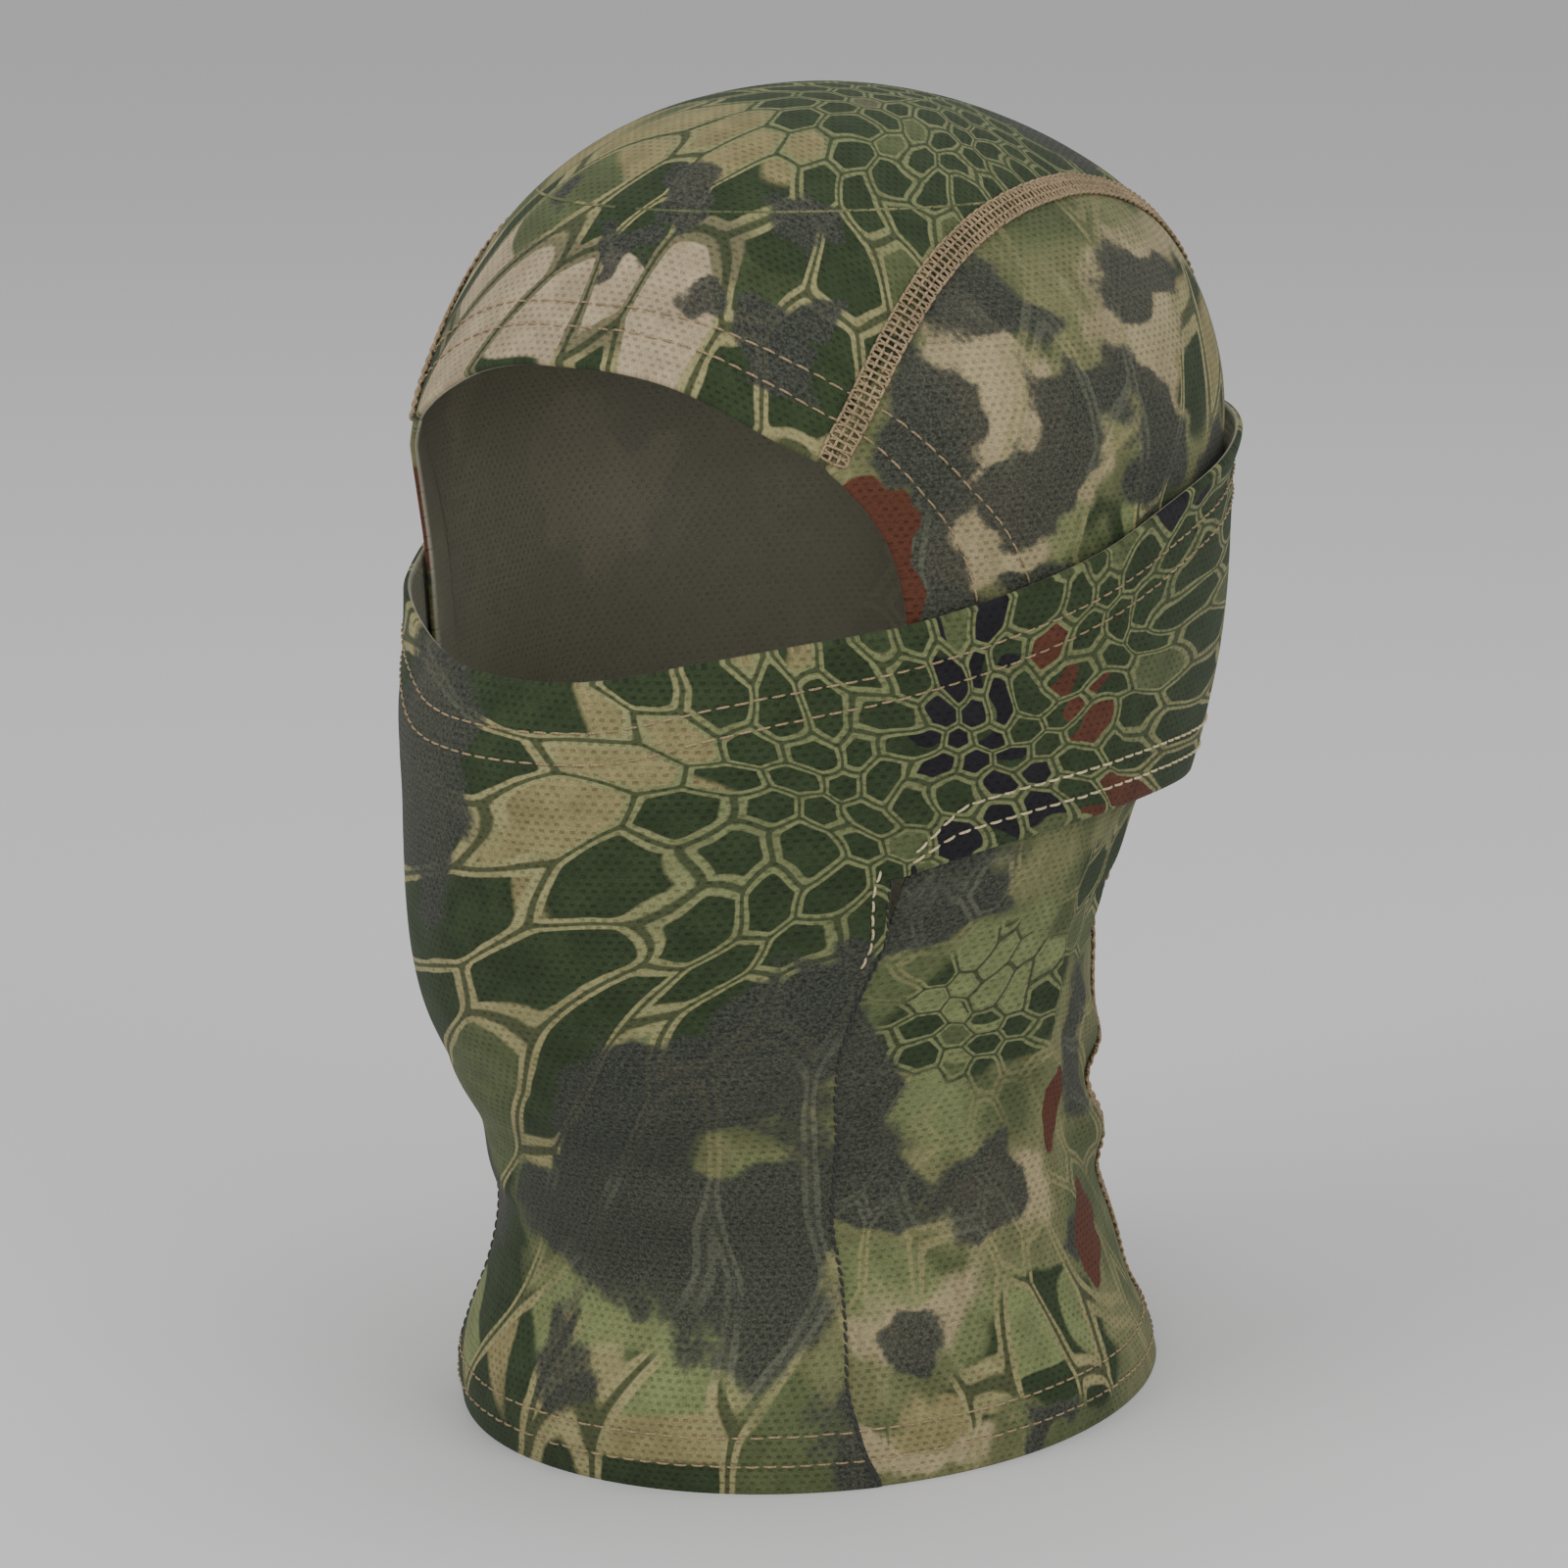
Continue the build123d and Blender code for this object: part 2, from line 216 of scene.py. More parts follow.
def field(table, P):
    """Below zero inside a layer, above zero outside."""
    a, front, back, p, q = sizes(table, P[..., 2])
    x, y = np.abs(P[..., 0]), P[..., 1]
    reach = np.where(y < 0, front, back)
    power = 2.0 / np.where(y < 0, p, q)
    return (x / a) ** 2 + (np.abs(y) / reach) ** power - 1


def unit(v):
    """Vectors scaled to length one."""
    return v / np.maximum(np.linalg.norm(v, axis=-1, keepdims=True), 1e-9)


def normals(table, P, e=0.6):
    """Outward direction of a layer at points on it."""
    grad = []
    for k in range(3):
        d = np.zeros(3)
        d[k] = e
        low, high = P - d, P + d
        if table is HEAD:
            low[..., 2] = np.clip(low[..., 2], 0, DOME_Z + DOME_RISE - 0.3)
            high[..., 2] = np.clip(high[..., 2], 0, DOME_Z + DOME_RISE - 0.3)
        grad.append((field(table, high) - field(table, low)) / 2)
    n = unit(np.stack(grad, -1))
    top = np.clip((P[..., 2] - 274.0) / 4.0, 0, 1)[..., None]
    return unit(n * (1 - top) + np.array([0, 0, 1.0]) * top)


def hit(table, origin, direction, far=140.0):
    """First crossing of a layer from inside along a direction."""
    low = np.zeros(origin.shape[:-1])
    high = np.full(origin.shape[:-1], far)
    for _ in range(36):
        mid = (low + high) / 2
        P = origin + direction * mid[..., None]
        out = (field(table, P) > 0) | (P[..., 2] > DOME_Z + DOME_RISE)
        high = np.where(out, mid, high)
        low = np.where(out, low, mid)
    return origin + direction * low[..., None]


def round_scale(z):
    """Cloth length per radian round a layer."""
    return 84.0 * sizes(HEAD, z)[0] / 77.0


def ramp(x, low, high):
    """Smooth step from 0 at low to 1 at high."""
    t = np.clip((x - low) / (high - low), 0, 1)
    return t * t * (3 - 2 * t)


# ------------------------------------------------------------------ soft shape of the cloth
def ridge(P, start, end, width, height, taper=0.25):
    """Long fold between two points: a rounded ridge with a shallow valley under it."""
    start, end = np.array(start, float), np.array(end, float)
    axis = end - start
    t = ((P - start) @ axis) / (axis @ axis)
    near = start + np.clip(t, 0, 1)[..., None] * axis
    off = P - near
    dist = np.linalg.norm(off, axis=-1)
    side = off[..., 2]
    ends = ramp(t, -taper, taper) * (1 - ramp(t, 1 - taper, 1 + taper))
    up = np.exp(-(dist / width) ** 2)
    down = np.exp(-((side + 1.6 * width) ** 2 + dist ** 2 * 0.2) / (width * width * 1.4))
    return height * ends * (up - 0.55 * down)


FOLDS = [
    ((64, 12, 116), (36, 62, 132), 5.0, 2.4),
    ((62, 22, 104), (34, 62, 118), 4.5, 1.6),
    ((-64, 12, 116), (-36, 62, 132), 5.0, 2.4),
    ((61, 2, 96), (44, 48, 66), 5.0, 2.2),
    ((60, -6, 82), (52, 36, 50), 5.0, 1.5),
    ((-61, 2, 92), (-44, 48, 70), 5.0, 1.8),
    ((58, 20, 60), (30, 62, 46), 5.5, 1.8),
    ((-56, 24, 60), (-20, 64, 50), 5.5, 1.8),
    ((30, 58, 84), (-34, 56, 78), 6.0, 1.8),
    ((22, 62, 104), (-30, 60, 100), 5.0, 1.6),
    ((40, 56, 30), (-10, 70, 36), 6.0, 1.4),
]
FRONT_FOLDS = [
    ((52, -60, 62), (10, -86, 56), 6.0, 1.0),
    ((-52, -60, 58), (-14, -86, 54), 6.0, 1.0),
    ((54, -62, 96), (20, -96, 74), 7.0, 0.8),
    ((44, -62, 34), (8, -78, 40), 6.0, 0.8),
]


def waves(P, scale, seed):
    """Slow, small unevenness of cloth."""
    r = np.random.default_rng(seed)
    total = np.zeros(P.shape[:-1])
    for k in range(6):
        d = unit(r.normal(size=3)) * r.uniform(0.6, 1.5) / scale
        total += np.sin(P @ d * 2 * math.pi + r.uniform(0, 6.28)) / 6
    return total


def head_shape(P):
    """Displacement of the hood and neck layer along its normal."""
    d = 0.5 * waves(P, 60.0, 3) * ramp(P[..., 2], 0, 20)
    neck = 1 - ramp(P[..., 2], 120, 140)
    for start, end, width, height in FOLDS:
        d = d + ridge(P, start, end, width, height) * neck
    return d


def cover_shape(P):
    """Displacement of the front cloth along its normal."""
    d = 0.35 * waves(P, 55.0, 5) * ramp(P[..., 2], 0, 20)
    for start, end, width, height in FRONT_FOLDS:
        d = d + ridge(P, start, end, width, height)
    return d


def head_point(turn, z, lift=0.0):
    """Point and normal on the hood and neck layer."""
    P = place(HEAD, turn, z)
    N = normals(HEAD, P)
    return P + N * (head_shape(P) + lift)[..., None], N


def seam_turn(z):
    """Turn of the front cloth's side edge at a height."""
    a = sizes(HEAD, z)[0]
    low = np.arcsin(np.clip(opening_x(z) / a, 0, 1))
    high = math.asin(CORNER_X / CORNER_HALF_WIDTH)
    return low + (high - low) * ramp(z, 112.0, SEAM_TOP_Z)


def front_point(turn, z, lift=0.0):
    """Point of the front cloth: on the neck at the bottom, on the cover above the chin."""
    A = place(HEAD, turn, z)
    B = place(COVER, turn, z)
    edge = np.abs(turn) / np.maximum(seam_turn(z), 0.1)
    inside = 1 - ramp(edge, 0.86, 1.0) * (1 - ramp(z, 112.0, 128.0))
    mix = ramp(z, 66.0, 100.0) * inside
    P = A * (1 - mix)[..., None] + B * mix[..., None]
    N = unit(normals(HEAD, A) * (1 - mix)[..., None] + normals(COVER, B) * mix[..., None])
    tuck = 0.55 * (1 - mix)
    curl = 1.6 * ramp(z - read(wing_top_line, P[..., 1]), -7.0, 0.0) * ramp(P[..., 1], 0, 60)
    return P + N * (cover_shape(P) + tuck + curl + lift)[..., None], N


# ------------------------------------------------------------------ meshes
def grid_faces(rows, cols, first=0):
    """Four-sided faces over a grid of points."""
    i = np.arange(rows - 1)[:, None] * cols + np.arange(cols - 1)[None, :] + first
    return np.stack([i, i + 1, i + 1 + cols, i + cols], -1).reshape(-1, 4)


def write_mesh(name, verts, faces, cloth, mat):
    """Scene object in metres, with each point's place on the cloth for the print."""
    mesh = bpy.data.meshes.new(name)
    verts = np.asarray(verts, float).copy()
    verts[:, 1] += CENTRE_Y
    mesh.from_pydata((verts * MM).tolist(), [], [list(map(int, f)) for f in faces])
    if cloth is not None:
        mesh.attributes.new("cloth", "FLOAT_VECTOR", "POINT").data.foreach_set(
            "vector", np.asarray(cloth, np.float32).ravel())
    mesh.validate()
    mesh.update()
    mesh.polygons.foreach_set("use_smooth", [True] * len(mesh.polygons))
    obj = bpy.data.objects.new(name, mesh)
    bpy.context.scene.collection.objects.link(obj)
    mesh.materials.append(mat)
    return obj


def weld(P, faces, *extra, tol=0.02):
    """Joins points that fall together and drops faces that collapse."""
    key = np.round(P / tol).astype(np.int64)
    _, first, back = np.unique(key, axis=0, return_index=True, return_inverse=True)
    back = back.ravel()
    faces = back[faces]
    keep = []
    for f in faces:
        g = [v for k, v in enumerate(f) if v != f[k - 1]]
        if len(set(g)) == len(g) and len(g) > 2:
            keep.append(g)
    return (P[first], keep) + tuple(e[first] for e in extra)


def shell(P, faces, N, T, uv):
    """Closed cloth: outer face, inner face and a rounded rim along every free edge."""
    count = len(P)
    P2 = P - N * T[:, None]
    edges = {}
    for f in faces:
        for k in range(len(f)):
            a, b = f[k - 1], f[k]
            if (b, a) in edges:
                del edges[(b, a)]
            else:
                edges[(a, b)] = True
    rim = list(edges)
    outward = np.zeros((count, 3))
    for a, b in rim:
        o = np.cross(P[b] - P[a], N[a])
        outward[a] += unit(o)
        outward[b] += unit(o)
    used = sorted({v for e in rim for v in e})
    index = {v: k for k, v in enumerate(used)}
    used = np.array(used)
    out = unit(outward[used])
    rings = []
    for angle in (0.25, 0.5, 0.75):
        c, s = math.cos(angle * math.pi), math.sin(angle * math.pi)
        half = T[used][:, None] / 2
        rings.append(P[used] - N[used] * half * (1 - c) + out * half * s)
    verts = np.concatenate([P, P2] + rings)
    all_faces = [list(f) for f in faces] + [[v + count for v in reversed(f)] for f in faces]
    m = len(used)
    for a, b in rim:
        ia, ib = index[a], index[b]
        chain_a = [a] + [2 * count + k * m + ia for k in range(3)] + [a + count]
        chain_b = [b] + [2 * count + k * m + ib for k in range(3)] + [b + count]
        for k in range(4):
            all_faces.append([chain_b[k], chain_a[k], chain_a[k + 1], chain_b[k + 1]])
    inner = uv.copy()
    inner[:, 2] = 1.0
    ring_uv = [np.column_stack([uv[used][:, :2], np.full(m, side)]) for side in (0.0, 0.3, 1.0)]
    return verts, all_faces, np.concatenate([uv, inner] + ring_uv)


CLOTH = 0.85
FOLDED = 1.75
OPENING_HEM = 14.0
COVER_HEM = 16.5
WING_HEM = 13.0
BOTTOM_HEM = 14.5


def thickness(*pairs):
    """Cloth thickness: doubled within each hem's width of its edge."""
    t = CLOTH
    for dist, width in pairs:
        t = np.maximum(t, CLOTH + (FOLDED - CLOTH) * (1 - ramp(dist, width - 0.8, width + 0.8)))
    return t


def build_crown():
    """Crown strip: brow edge, over the top, down the back to the hem."""
    cols, rows_a, rows_b = 65, 300, 170
    c = np.linspace(-1, 1, cols)
    x0 = c * strip_half(-72.0)
    z0 = arch_z(x0)
    a0 = sizes(HEAD, z0)[0]
    brow = place(HEAD, np.arcsin(x0 / a0), z0)
    centre = np.array([5.0, 190.0])
    first = np.arctan2(z0 - centre[1], -(brow[:, 1] - centre[0]))
    s = np.linspace(0, 1, rows_a)[:, None]
    angle = first[None, :] + (math.pi - first[None, :]) * s
    direction = np.stack([np.zeros_like(angle), -np.cos(angle), np.sin(angle)], -1)
    P = np.zeros(angle.shape + (3,))
    P[..., 1] = -80 + 180 * s
    for _ in range(6):
        x = c[None, :] * strip_half(P[..., 1])
        origin = np.stack([x, np.full_like(x, centre[0]), np.full_like(x, centre[1])], -1)
        P = hit(HEAD, origin, direction)
    z = np.linspace(centre[1], 0, rows_b + 1)[1:, None] * np.ones(cols)[None, :]
    Q = np.zeros(z.shape + (3,))
    Q[..., 1] = 80
    for _ in range(6):
        x = c[None, :] * strip_half(Q[..., 1])
        origin = np.stack([x, np.zeros_like(x), z], -1)
        Q = hit(HEAD, origin, np.array([0, 1.0, 0]))
    P = np.concatenate([P, Q])
    v = run_along(P[:, cols // 2])[:, None] * np.ones(cols)[None, :]
    rise = np.linalg.norm(np.diff(P, axis=1), axis=2).cumsum(axis=1)
    u = np.concatenate([np.zeros((len(P), 1)), rise], 1)
    u = u - u[:, cols // 2][:, None]
    N = normals(HEAD, P)
    F = P + N * head_shape(P)[..., None]
    T = thickness((v, OPENING_HEM), (P[..., 2] + NO_EDGE * (P[..., 1] < 0), BOTTOM_HEM))
    uv = np.stack([u, v, np.zeros_like(u)], -1)
    return P, F, N, T, uv


crown_base, crown_face, crown_normal, crown_T, crown_uv = build_crown()


def panel_object(name, F, N, T, uv, mat):
    """Closed cloth panel from a grid of points."""
    rows, cols = F.shape[:2]
    flat = F.reshape(-1, 3)
    faces = grid_faces(rows, cols)
    P, faces, N, T, uv = weld(flat, faces, N.reshape(-1, 3), T.ravel(), uv.reshape(-1, 3))
    P, faces, uv = shell(P, faces, N, T, uv)
    return write_mesh(name, P, faces, uv, mat)


def meet(z, low, high):
    """Turn where a ring at height z crosses the crown strip's edge, between two turns."""
    def outside(turn):
        P = place(HEAD, turn, z)
        return P[..., 0] - strip_half(P[..., 1])

    low = np.full_like(z, low)
    high = np.full_like(z, high)
    sign = np.sign(outside(high))
    for _ in range(40):
        mid = (low + high) / 2
        same = np.sign(outside(mid)) == sign
        high = np.where(same, mid, high)
        low = np.where(same, low, mid)
    return (low + high) / 2


def build_side():
    """Left side panel, from the opening and side seam back to the crown strip."""
    rows, cols = 330, 150
    s = np.linspace(0, 1, rows)
    z = SIDE_PANEL_TOP * (1 - (1 - s) ** 1.25)
    middle = math.pi / 2 - 0.05
    back = meet(z, math.pi, middle)
    low_front = np.arcsin(np.clip(opening_x(z) / sizes(HEAD, z)[0], 0, 1))
    high_front = meet(z, 0.05, middle)
    front = np.where(z > SIDE_FRONT_TOP, high_front, low_front)
    c = np.linspace(0, 1, cols)[None, :]
    turn = front[:, None] + (back - front)[:, None] * c
    zz = z[:, None] * np.ones_like(c)
    P = place(HEAD, turn, zz)
    N = normals(HEAD, P)
    F = P + N * head_shape(P)[..., None]
    run = np.linalg.norm(np.diff(P, axis=1), axis=2).cumsum(axis=1)
    u = np.concatenate([np.zeros((rows, 1)), run], 1)
    from_front = u.copy()
    u = (turn - math.pi / 2) * round_scale(zz) + 132.0
    beside_opening = (zz > SEAM_TOP_Z) & (zz < OPENING_SIDE_TOP)
    hem = np.where(beside_opening, from_front, NO_EDGE)
    T = thickness((hem, OPENING_HEM), (zz, BOTTOM_HEM))
    mid = P[:, cols // 2]
    down = run_along(mid)
    uv = np.stack([u, down[:, None] * np.ones_like(u), np.zeros_like(u)], -1)
    return F, N, T, uv


side_face, side_normal, side_T, side_uv = build_side()


def build_front():
    """Front cloth: neck front, face cover and both wings, one piece."""
    low_rows, high_rows, half_cols, wing_cols = 150, 90, 70, 150
    corner = math.asin(CORNER_X / CORNER_HALF_WIDTH)
    parts = []
    z = np.linspace(0, SEAM_TOP_Z, low_rows)[:, None]
    c = np.linspace(-1, 1, 2 * half_cols + 1)[None, :]
    turn = seam_turn(z) * c
    parts.append((turn, z * np.ones_like(c)))
    turn = np.linspace(-corner, corner, 2 * half_cols + 1)
    for turns, bottom in (
        (turn, None),
        (np.linspace(corner, math.pi - 0.003, wing_cols), wing_bottom_line),
        (np.linspace(-math.pi + 0.003, -corner, wing_cols), wing_bottom_line),
    ):
        zt = np.full_like(turns, 170.0)
        zb = np.full_like(turns, SEAM_TOP_Z)
        for _ in range(14):
            zt = read(wing_top_line, place(COVER, turns, zt)[..., 1])
            if bottom is not None:
                zb = read(bottom, place(COVER, turns, zb)[..., 1])
        r = np.linspace(0, 1, high_rows)[:, None]
        parts.append((turns[None, :] * np.ones_like(r), zb[None, :] + (zt - zb)[None, :] * r))
    verts, faces, nrm, thick, cloth = [], [], [], [], []
    first = 0
    for k, (turn, z) in enumerate(parts):
        F, N = front_point(turn, z)
        P = place(COVER, turn, np.maximum(z, 84))
        top = read(wing_top_line, P[..., 1]) - z
        low = z if k < 2 else np.full_like(z, NO_EDGE)
        wing = z - read(wing_bottom_line, P[..., 1]) if k > 1 else np.full_like(z, NO_EDGE)
        T = thickness((np.abs(top), COVER_HEM), (low, BOTTOM_HEM), (wing, WING_HEM))
        verts.append(F.reshape(-1, 3))
        nrm.append(N.reshape(-1, 3))
        thick.append(T.ravel())
        around = turn * round_scale(z)
        cloth.append(np.stack([around, z, np.zeros_like(z)], -1).reshape(-1, 3))
        faces.append(grid_faces(*F.shape[:2], first))
        first += F.shape[0] * F.shape[1]
    return weld(*[np.concatenate(x) for x in (verts, faces, nrm, thick, cloth)])


# ------------------------------------------------------------------ thread
def tube(path, nrm, radius, sides=6):
    """Round thread along a path."""
    n = len(path)
    tangent = unit(np.gradient(path, axis=0))
    across = unit(np.cross(nrm, tangent))
    up = unit(np.cross(tangent, across))
    angle = np.linspace(0, 2 * math.pi, sides, endpoint=False)
    ring = (across[:, None, :] * np.cos(angle)[None, :, None]
            + up[:, None, :] * np.sin(angle)[None, :, None])
    V = (path[:, None, :] + ring * np.asarray(radius).reshape(-1, 1, 1)).reshape(-1, 3)
    faces = []
    for i in range(n - 1):
        for k in range(sides):
            a, b = i * sides + k, i * sides + (k + 1) % sides
            faces.append([a, b, b + sides, a + sides])
    faces.append(list(range(sides))[::-1])
    faces.append([(n - 1) * sides + k for k in range(sides)])
    return V, faces


def gather(pieces):
    """Several meshes as one."""
    V, F, n = [], [], 0
    for v, f in pieces:
        V.append(v)
        F += [[i + n for i in g] for g in f]
        n += len(v)
    return np.concatenate(V), F


def read_path(at, run, values):
    """Points or normals of a path at distances along it."""
    return np.stack([np.interp(at, run, values[:, k]) for k in range(3)], 1)


def resample(P, N, step):
    """Path and normals at even steps, and the path's length."""
    run = run_along(P)
    at = np.arange(0.0, run[-1], step)
    return read_path(at, run, P), unit(read_path(at, run, N)), run[-1]


def stitches(P, N, pitch, length, radius, rise, lean=0.0):
    """Row of separate visible stitches, each rising out of the cloth and diving back in."""
    run = run_along(P)
    shape = np.linspace(-0.5, 0.5, 8)
    pieces = []
    for s in np.arange(pitch * 0.5, run[-1] - pitch * 0.4, pitch):
        size = length * rng.uniform(0.92, 1.06)
        at = s + shape * size
        Q, M = read_path(at, run, P), unit(read_path(at, run, N))
        tangent = unit(Q[-1] - Q[0])
        across = np.cross(M, tangent)
        bow = rise * (1 - (2 * np.abs(shape)) ** 3 * 2.4)
        Q = Q + M * bow[:, None] + across * (shape * lean + rng.normal() * 0.05)[:, None]
        thick = radius * (1 - 0.35 * (2 * np.abs(shape)) ** 4)
        pieces.append(tube(Q, M, thick))
    return gather(pieces)


def row_object(name, data, mat, body, node, blended=False):
    """Row of thread that stands for one CAD part."""
    obj = write_mesh(name, *data, None, mat)
    if blended:
        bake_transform(obj)
    else:
        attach(obj, body)
    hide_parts(node)
    return obj


def moved_edge(line, distance):
    """An edge moved sideways, away from the opening."""
    tangent = np.gradient(line, axis=0)
    tangent /= np.linalg.norm(tangent, axis=1)[:, None]
    return line + np.stack([-tangent[:, 1], tangent[:, 0]], 1) * distance


# ------------------------------------------------------------------ materials
class Nodes:
    """Short way to write a shader as expressions."""

    def __init__(self, name):
        self.mat = bpy.data.materials.new(name)
        self.mat.use_nodes = True
        self.tree = self.mat.node_tree
        self.bsdf = self.tree.nodes["Principled BSDF"]

    def add(self, kind, **settings):
        node = self.tree.nodes.new(kind)
        for key, value in settings.items():
            setattr(node, key, value)
        return node

    def put(self, socket, value):
        if isinstance(value, bpy.types.NodeSocket):
            self.tree.links.new(value, socket)
        else:
            socket.default_value = value

    def m(self, op, a, b=0.0, c=0.0):
        node = self.add("ShaderNodeMath", operation=op)
        for k, v in enumerate((a, b, c)):
            self.put(node.inputs[k], v)
        return node.outputs[0]

    def v(self, op, a, b=(0.0, 0.0, 0.0), scale=1.0):
        node = self.add("ShaderNodeVectorMath", operation=op)
        self.put(node.inputs[0], a[:3] if isinstance(a, tuple) else a)
        if op == "SCALE":
            self.put(node.inputs["Scale"], scale)
        else:
            self.put(node.inputs[1], b)
        return node.outputs["Value"] if op in ("LENGTH", "DOT_PRODUCT") else node.outputs[0]

    def xyz(self, x, y, z=0.0):
        node = self.add("ShaderNodeCombineXYZ")
        for k, v in enumerate((x, y, z)):
            self.put(node.inputs[k], v)
        return node.outputs[0]

    def step(self, x, low, high, a=0.0, b=1.0):
        node = self.add("ShaderNodeMapRange", interpolation_type="SMOOTHSTEP")
        for k, v in enumerate((x, low, high, a, b)):
            self.put(node.inputs[k], v)
        return node.outputs[0]

    def mix(self, f, a, b):
        node = self.add("ShaderNodeMix", data_type="RGBA")
        self.put(node.inputs[0], f)
        self.put(node.inputs[6], a)
        self.put(node.inputs[7], b)
        return node.outputs[2]

    def vmix(self, f, a, b):
        node = self.add("ShaderNodeMix", data_type="VECTOR")
        self.put(node.inputs[0], f)
        self.put(node.inputs[4], a)
        self.put(node.inputs[5], b)
        return node.outputs[1]

    def noise(self, vec, scale, detail=2.0, rough=0.5, color=False):
        node = self.add("ShaderNodeTexNoise", noise_dimensions="3D")
        self.put(node.inputs["Vector"], vec)
        self.put(node.inputs["Scale"], scale)
        self.put(node.inputs["Detail"], detail)
        self.put(node.inputs["Roughness"], rough)
        return node.outputs["Color" if color else "Factor" if "Factor" in node.outputs else "Fac"]

    def spin(self, vec, angle):
        if not angle:
            return vec
        node = self.add("ShaderNodeVectorRotate", rotation_type="Z_AXIS")
        self.put(node.inputs["Vector"], vec)
        self.put(node.inputs["Angle"], angle)
        return node.outputs[0]

    def bump(self, height, strength, distance):
        node = self.add("ShaderNodeBump")
        self.put(node.inputs["Strength"], strength)
        self.put(node.inputs["Distance"], distance)
        self.put(node.inputs["Height"], height)
        self.put(self.bsdf.inputs["Normal"], node.outputs[0])

    def blobs(self, p, spots):
        """Soft round spots: centre, reach along and across, strength."""
        total = None
        for u, v, ru, rv, strength in spots:
            d = self.v("DIVIDE", self.v("SUBTRACT", p, (u, v, 0.0)), (ru, rv, 1.0))
            one = self.m("MULTIPLY", self.step(self.v("LENGTH", d), 0.35, 1.15, 1.0, 0.0), strength)
            total = one if total is None else self.m("ADD", total, one)
        return total if total is not None else self.m("ADD", 0.0, 0.0)


def rgb(r, g, b):
    """sRGB 0-255 to scene colour."""
    lin = [((c / 255 + 0.055) / 1.055) ** 2.4 if c > 10 else c / 255 / 12.92 for c in (r, g, b)]
    return (lin[0], lin[1], lin[2], 1.0)


DARK_GREEN = rgb(48, 59, 38)
MID_GREEN = rgb(80, 88, 58)
OLIVE = rgb(106, 107, 74)
KHAKI = rgb(126, 118, 82)
SAND = rgb(150, 138, 106)
LINE = rgb(140, 134, 95)
LINE_TIGHT = rgb(112, 117, 80)
EDGE = rgb(50, 60, 39)
BLACK = rgb(32, 31, 34)
CHARCOAL = rgb(72, 74, 66)
CHARCOAL_DEEP = rgb(40, 42, 38)
BROWN = rgb(84, 51, 38)
BEIGE = rgb(160, 145, 118)
LIGHT_GREEN = rgb(110, 118, 78)
PALE = rgb(190, 187, 168)
ASH_LINE = rgb(106, 110, 94)
BEIGE_RIM = (0.115, 0.105, 0.062, 1.0)

# Knit slits: distance along a row and between rows. FAR lies beyond any cloth, for mirroring.
SLIT_PITCH = 2.1
SLIT_ROW = 1.45
FAR = 900.0

# Pitch of a six-sided net with cells one wide.
HEX = (1.7320508, 1.0, 1.0)
HALF_HEX = (0.8660254, 0.5, 0.0)


def flat(n, vec):
    """Drops the third number, which is not a place on the cloth."""
    return n.v("MULTIPLY", vec, (1.0, 1.0, 0.0))


def hex_cells(n, q):
    """Distance to the nearest cell wall and a fixed number for each cell of a six-sided net."""
    q = n.v("ADD", q, (200.0 * HEX[0], 200.0, 0.0))
    first = n.v("SUBTRACT", n.v("MODULO", q, HEX), HALF_HEX)
    other = n.v("SUBTRACT", n.v("MODULO", n.v("SUBTRACT", q, HALF_HEX), HEX), HALF_HEX)
    first, other = flat(n, first), flat(n, other)
    nearer = n.m("LESS_THAN", n.v("LENGTH", first), n.v("LENGTH", other))
    local = n.vmix(nearer, other, first)
    size = n.v("ABSOLUTE", local)
    sep = n.add("ShaderNodeSeparateXYZ")
    n.put(sep.inputs[0], size)
    slanted = n.v("DOT_PRODUCT", size, HALF_HEX)
    reach = n.add("ShaderNodeMath", operation="SMOOTH_MAX")
    for k, value in enumerate((sep.outputs[1], slanted, 0.09)):
        n.put(reach.inputs[k], value)
    centre = n.v("SUBTRACT", q, local)
    steps = n.v("FLOOR", n.v("ADD", n.v("DIVIDE", centre, (HALF_HEX[0], 0.5, 1.0)), (0.5, 0.5, 0.5)))
    hashed = n.add("ShaderNodeTexWhiteNoise", noise_dimensions="3D")
    n.put(hashed.inputs["Vector"], steps)
    split = n.add("ShaderNodeSeparateColor")
    n.put(split.inputs[0], hashed.outputs["Color"])
    return n.m("SUBTRACT", 0.5, reach.outputs[0]), split.outputs[0], split.outputs[1], local


def wandering(n, p, noise, reach):
    """The same place pushed about by a noise."""
    return flat(n, n.v("ADD", p, n.v("SCALE", n.v("SUBTRACT", noise, (0.5, 0.5, 0.5)), scale=reach)))


def mirrored(n, place, fold, fold_up):
    """Repeats the net as its mirror image past a line across or along the cloth."""
    if fold is not None:
        shift = (-fold, FAR, 0.0)
        place = n.v("SUBTRACT", n.v("ABSOLUTE", n.v("ADD", place, shift)), shift)
    if fold_up is not None:
        turned = n.v("ABSOLUTE", n.v("ADD", place, (FAR, -fold_up, 0.0)))
        place = n.v("ADD", n.v("MULTIPLY", turned, (1.0, -1.0, 0.0)), (-FAR, fold_up, 0.0))
    return place


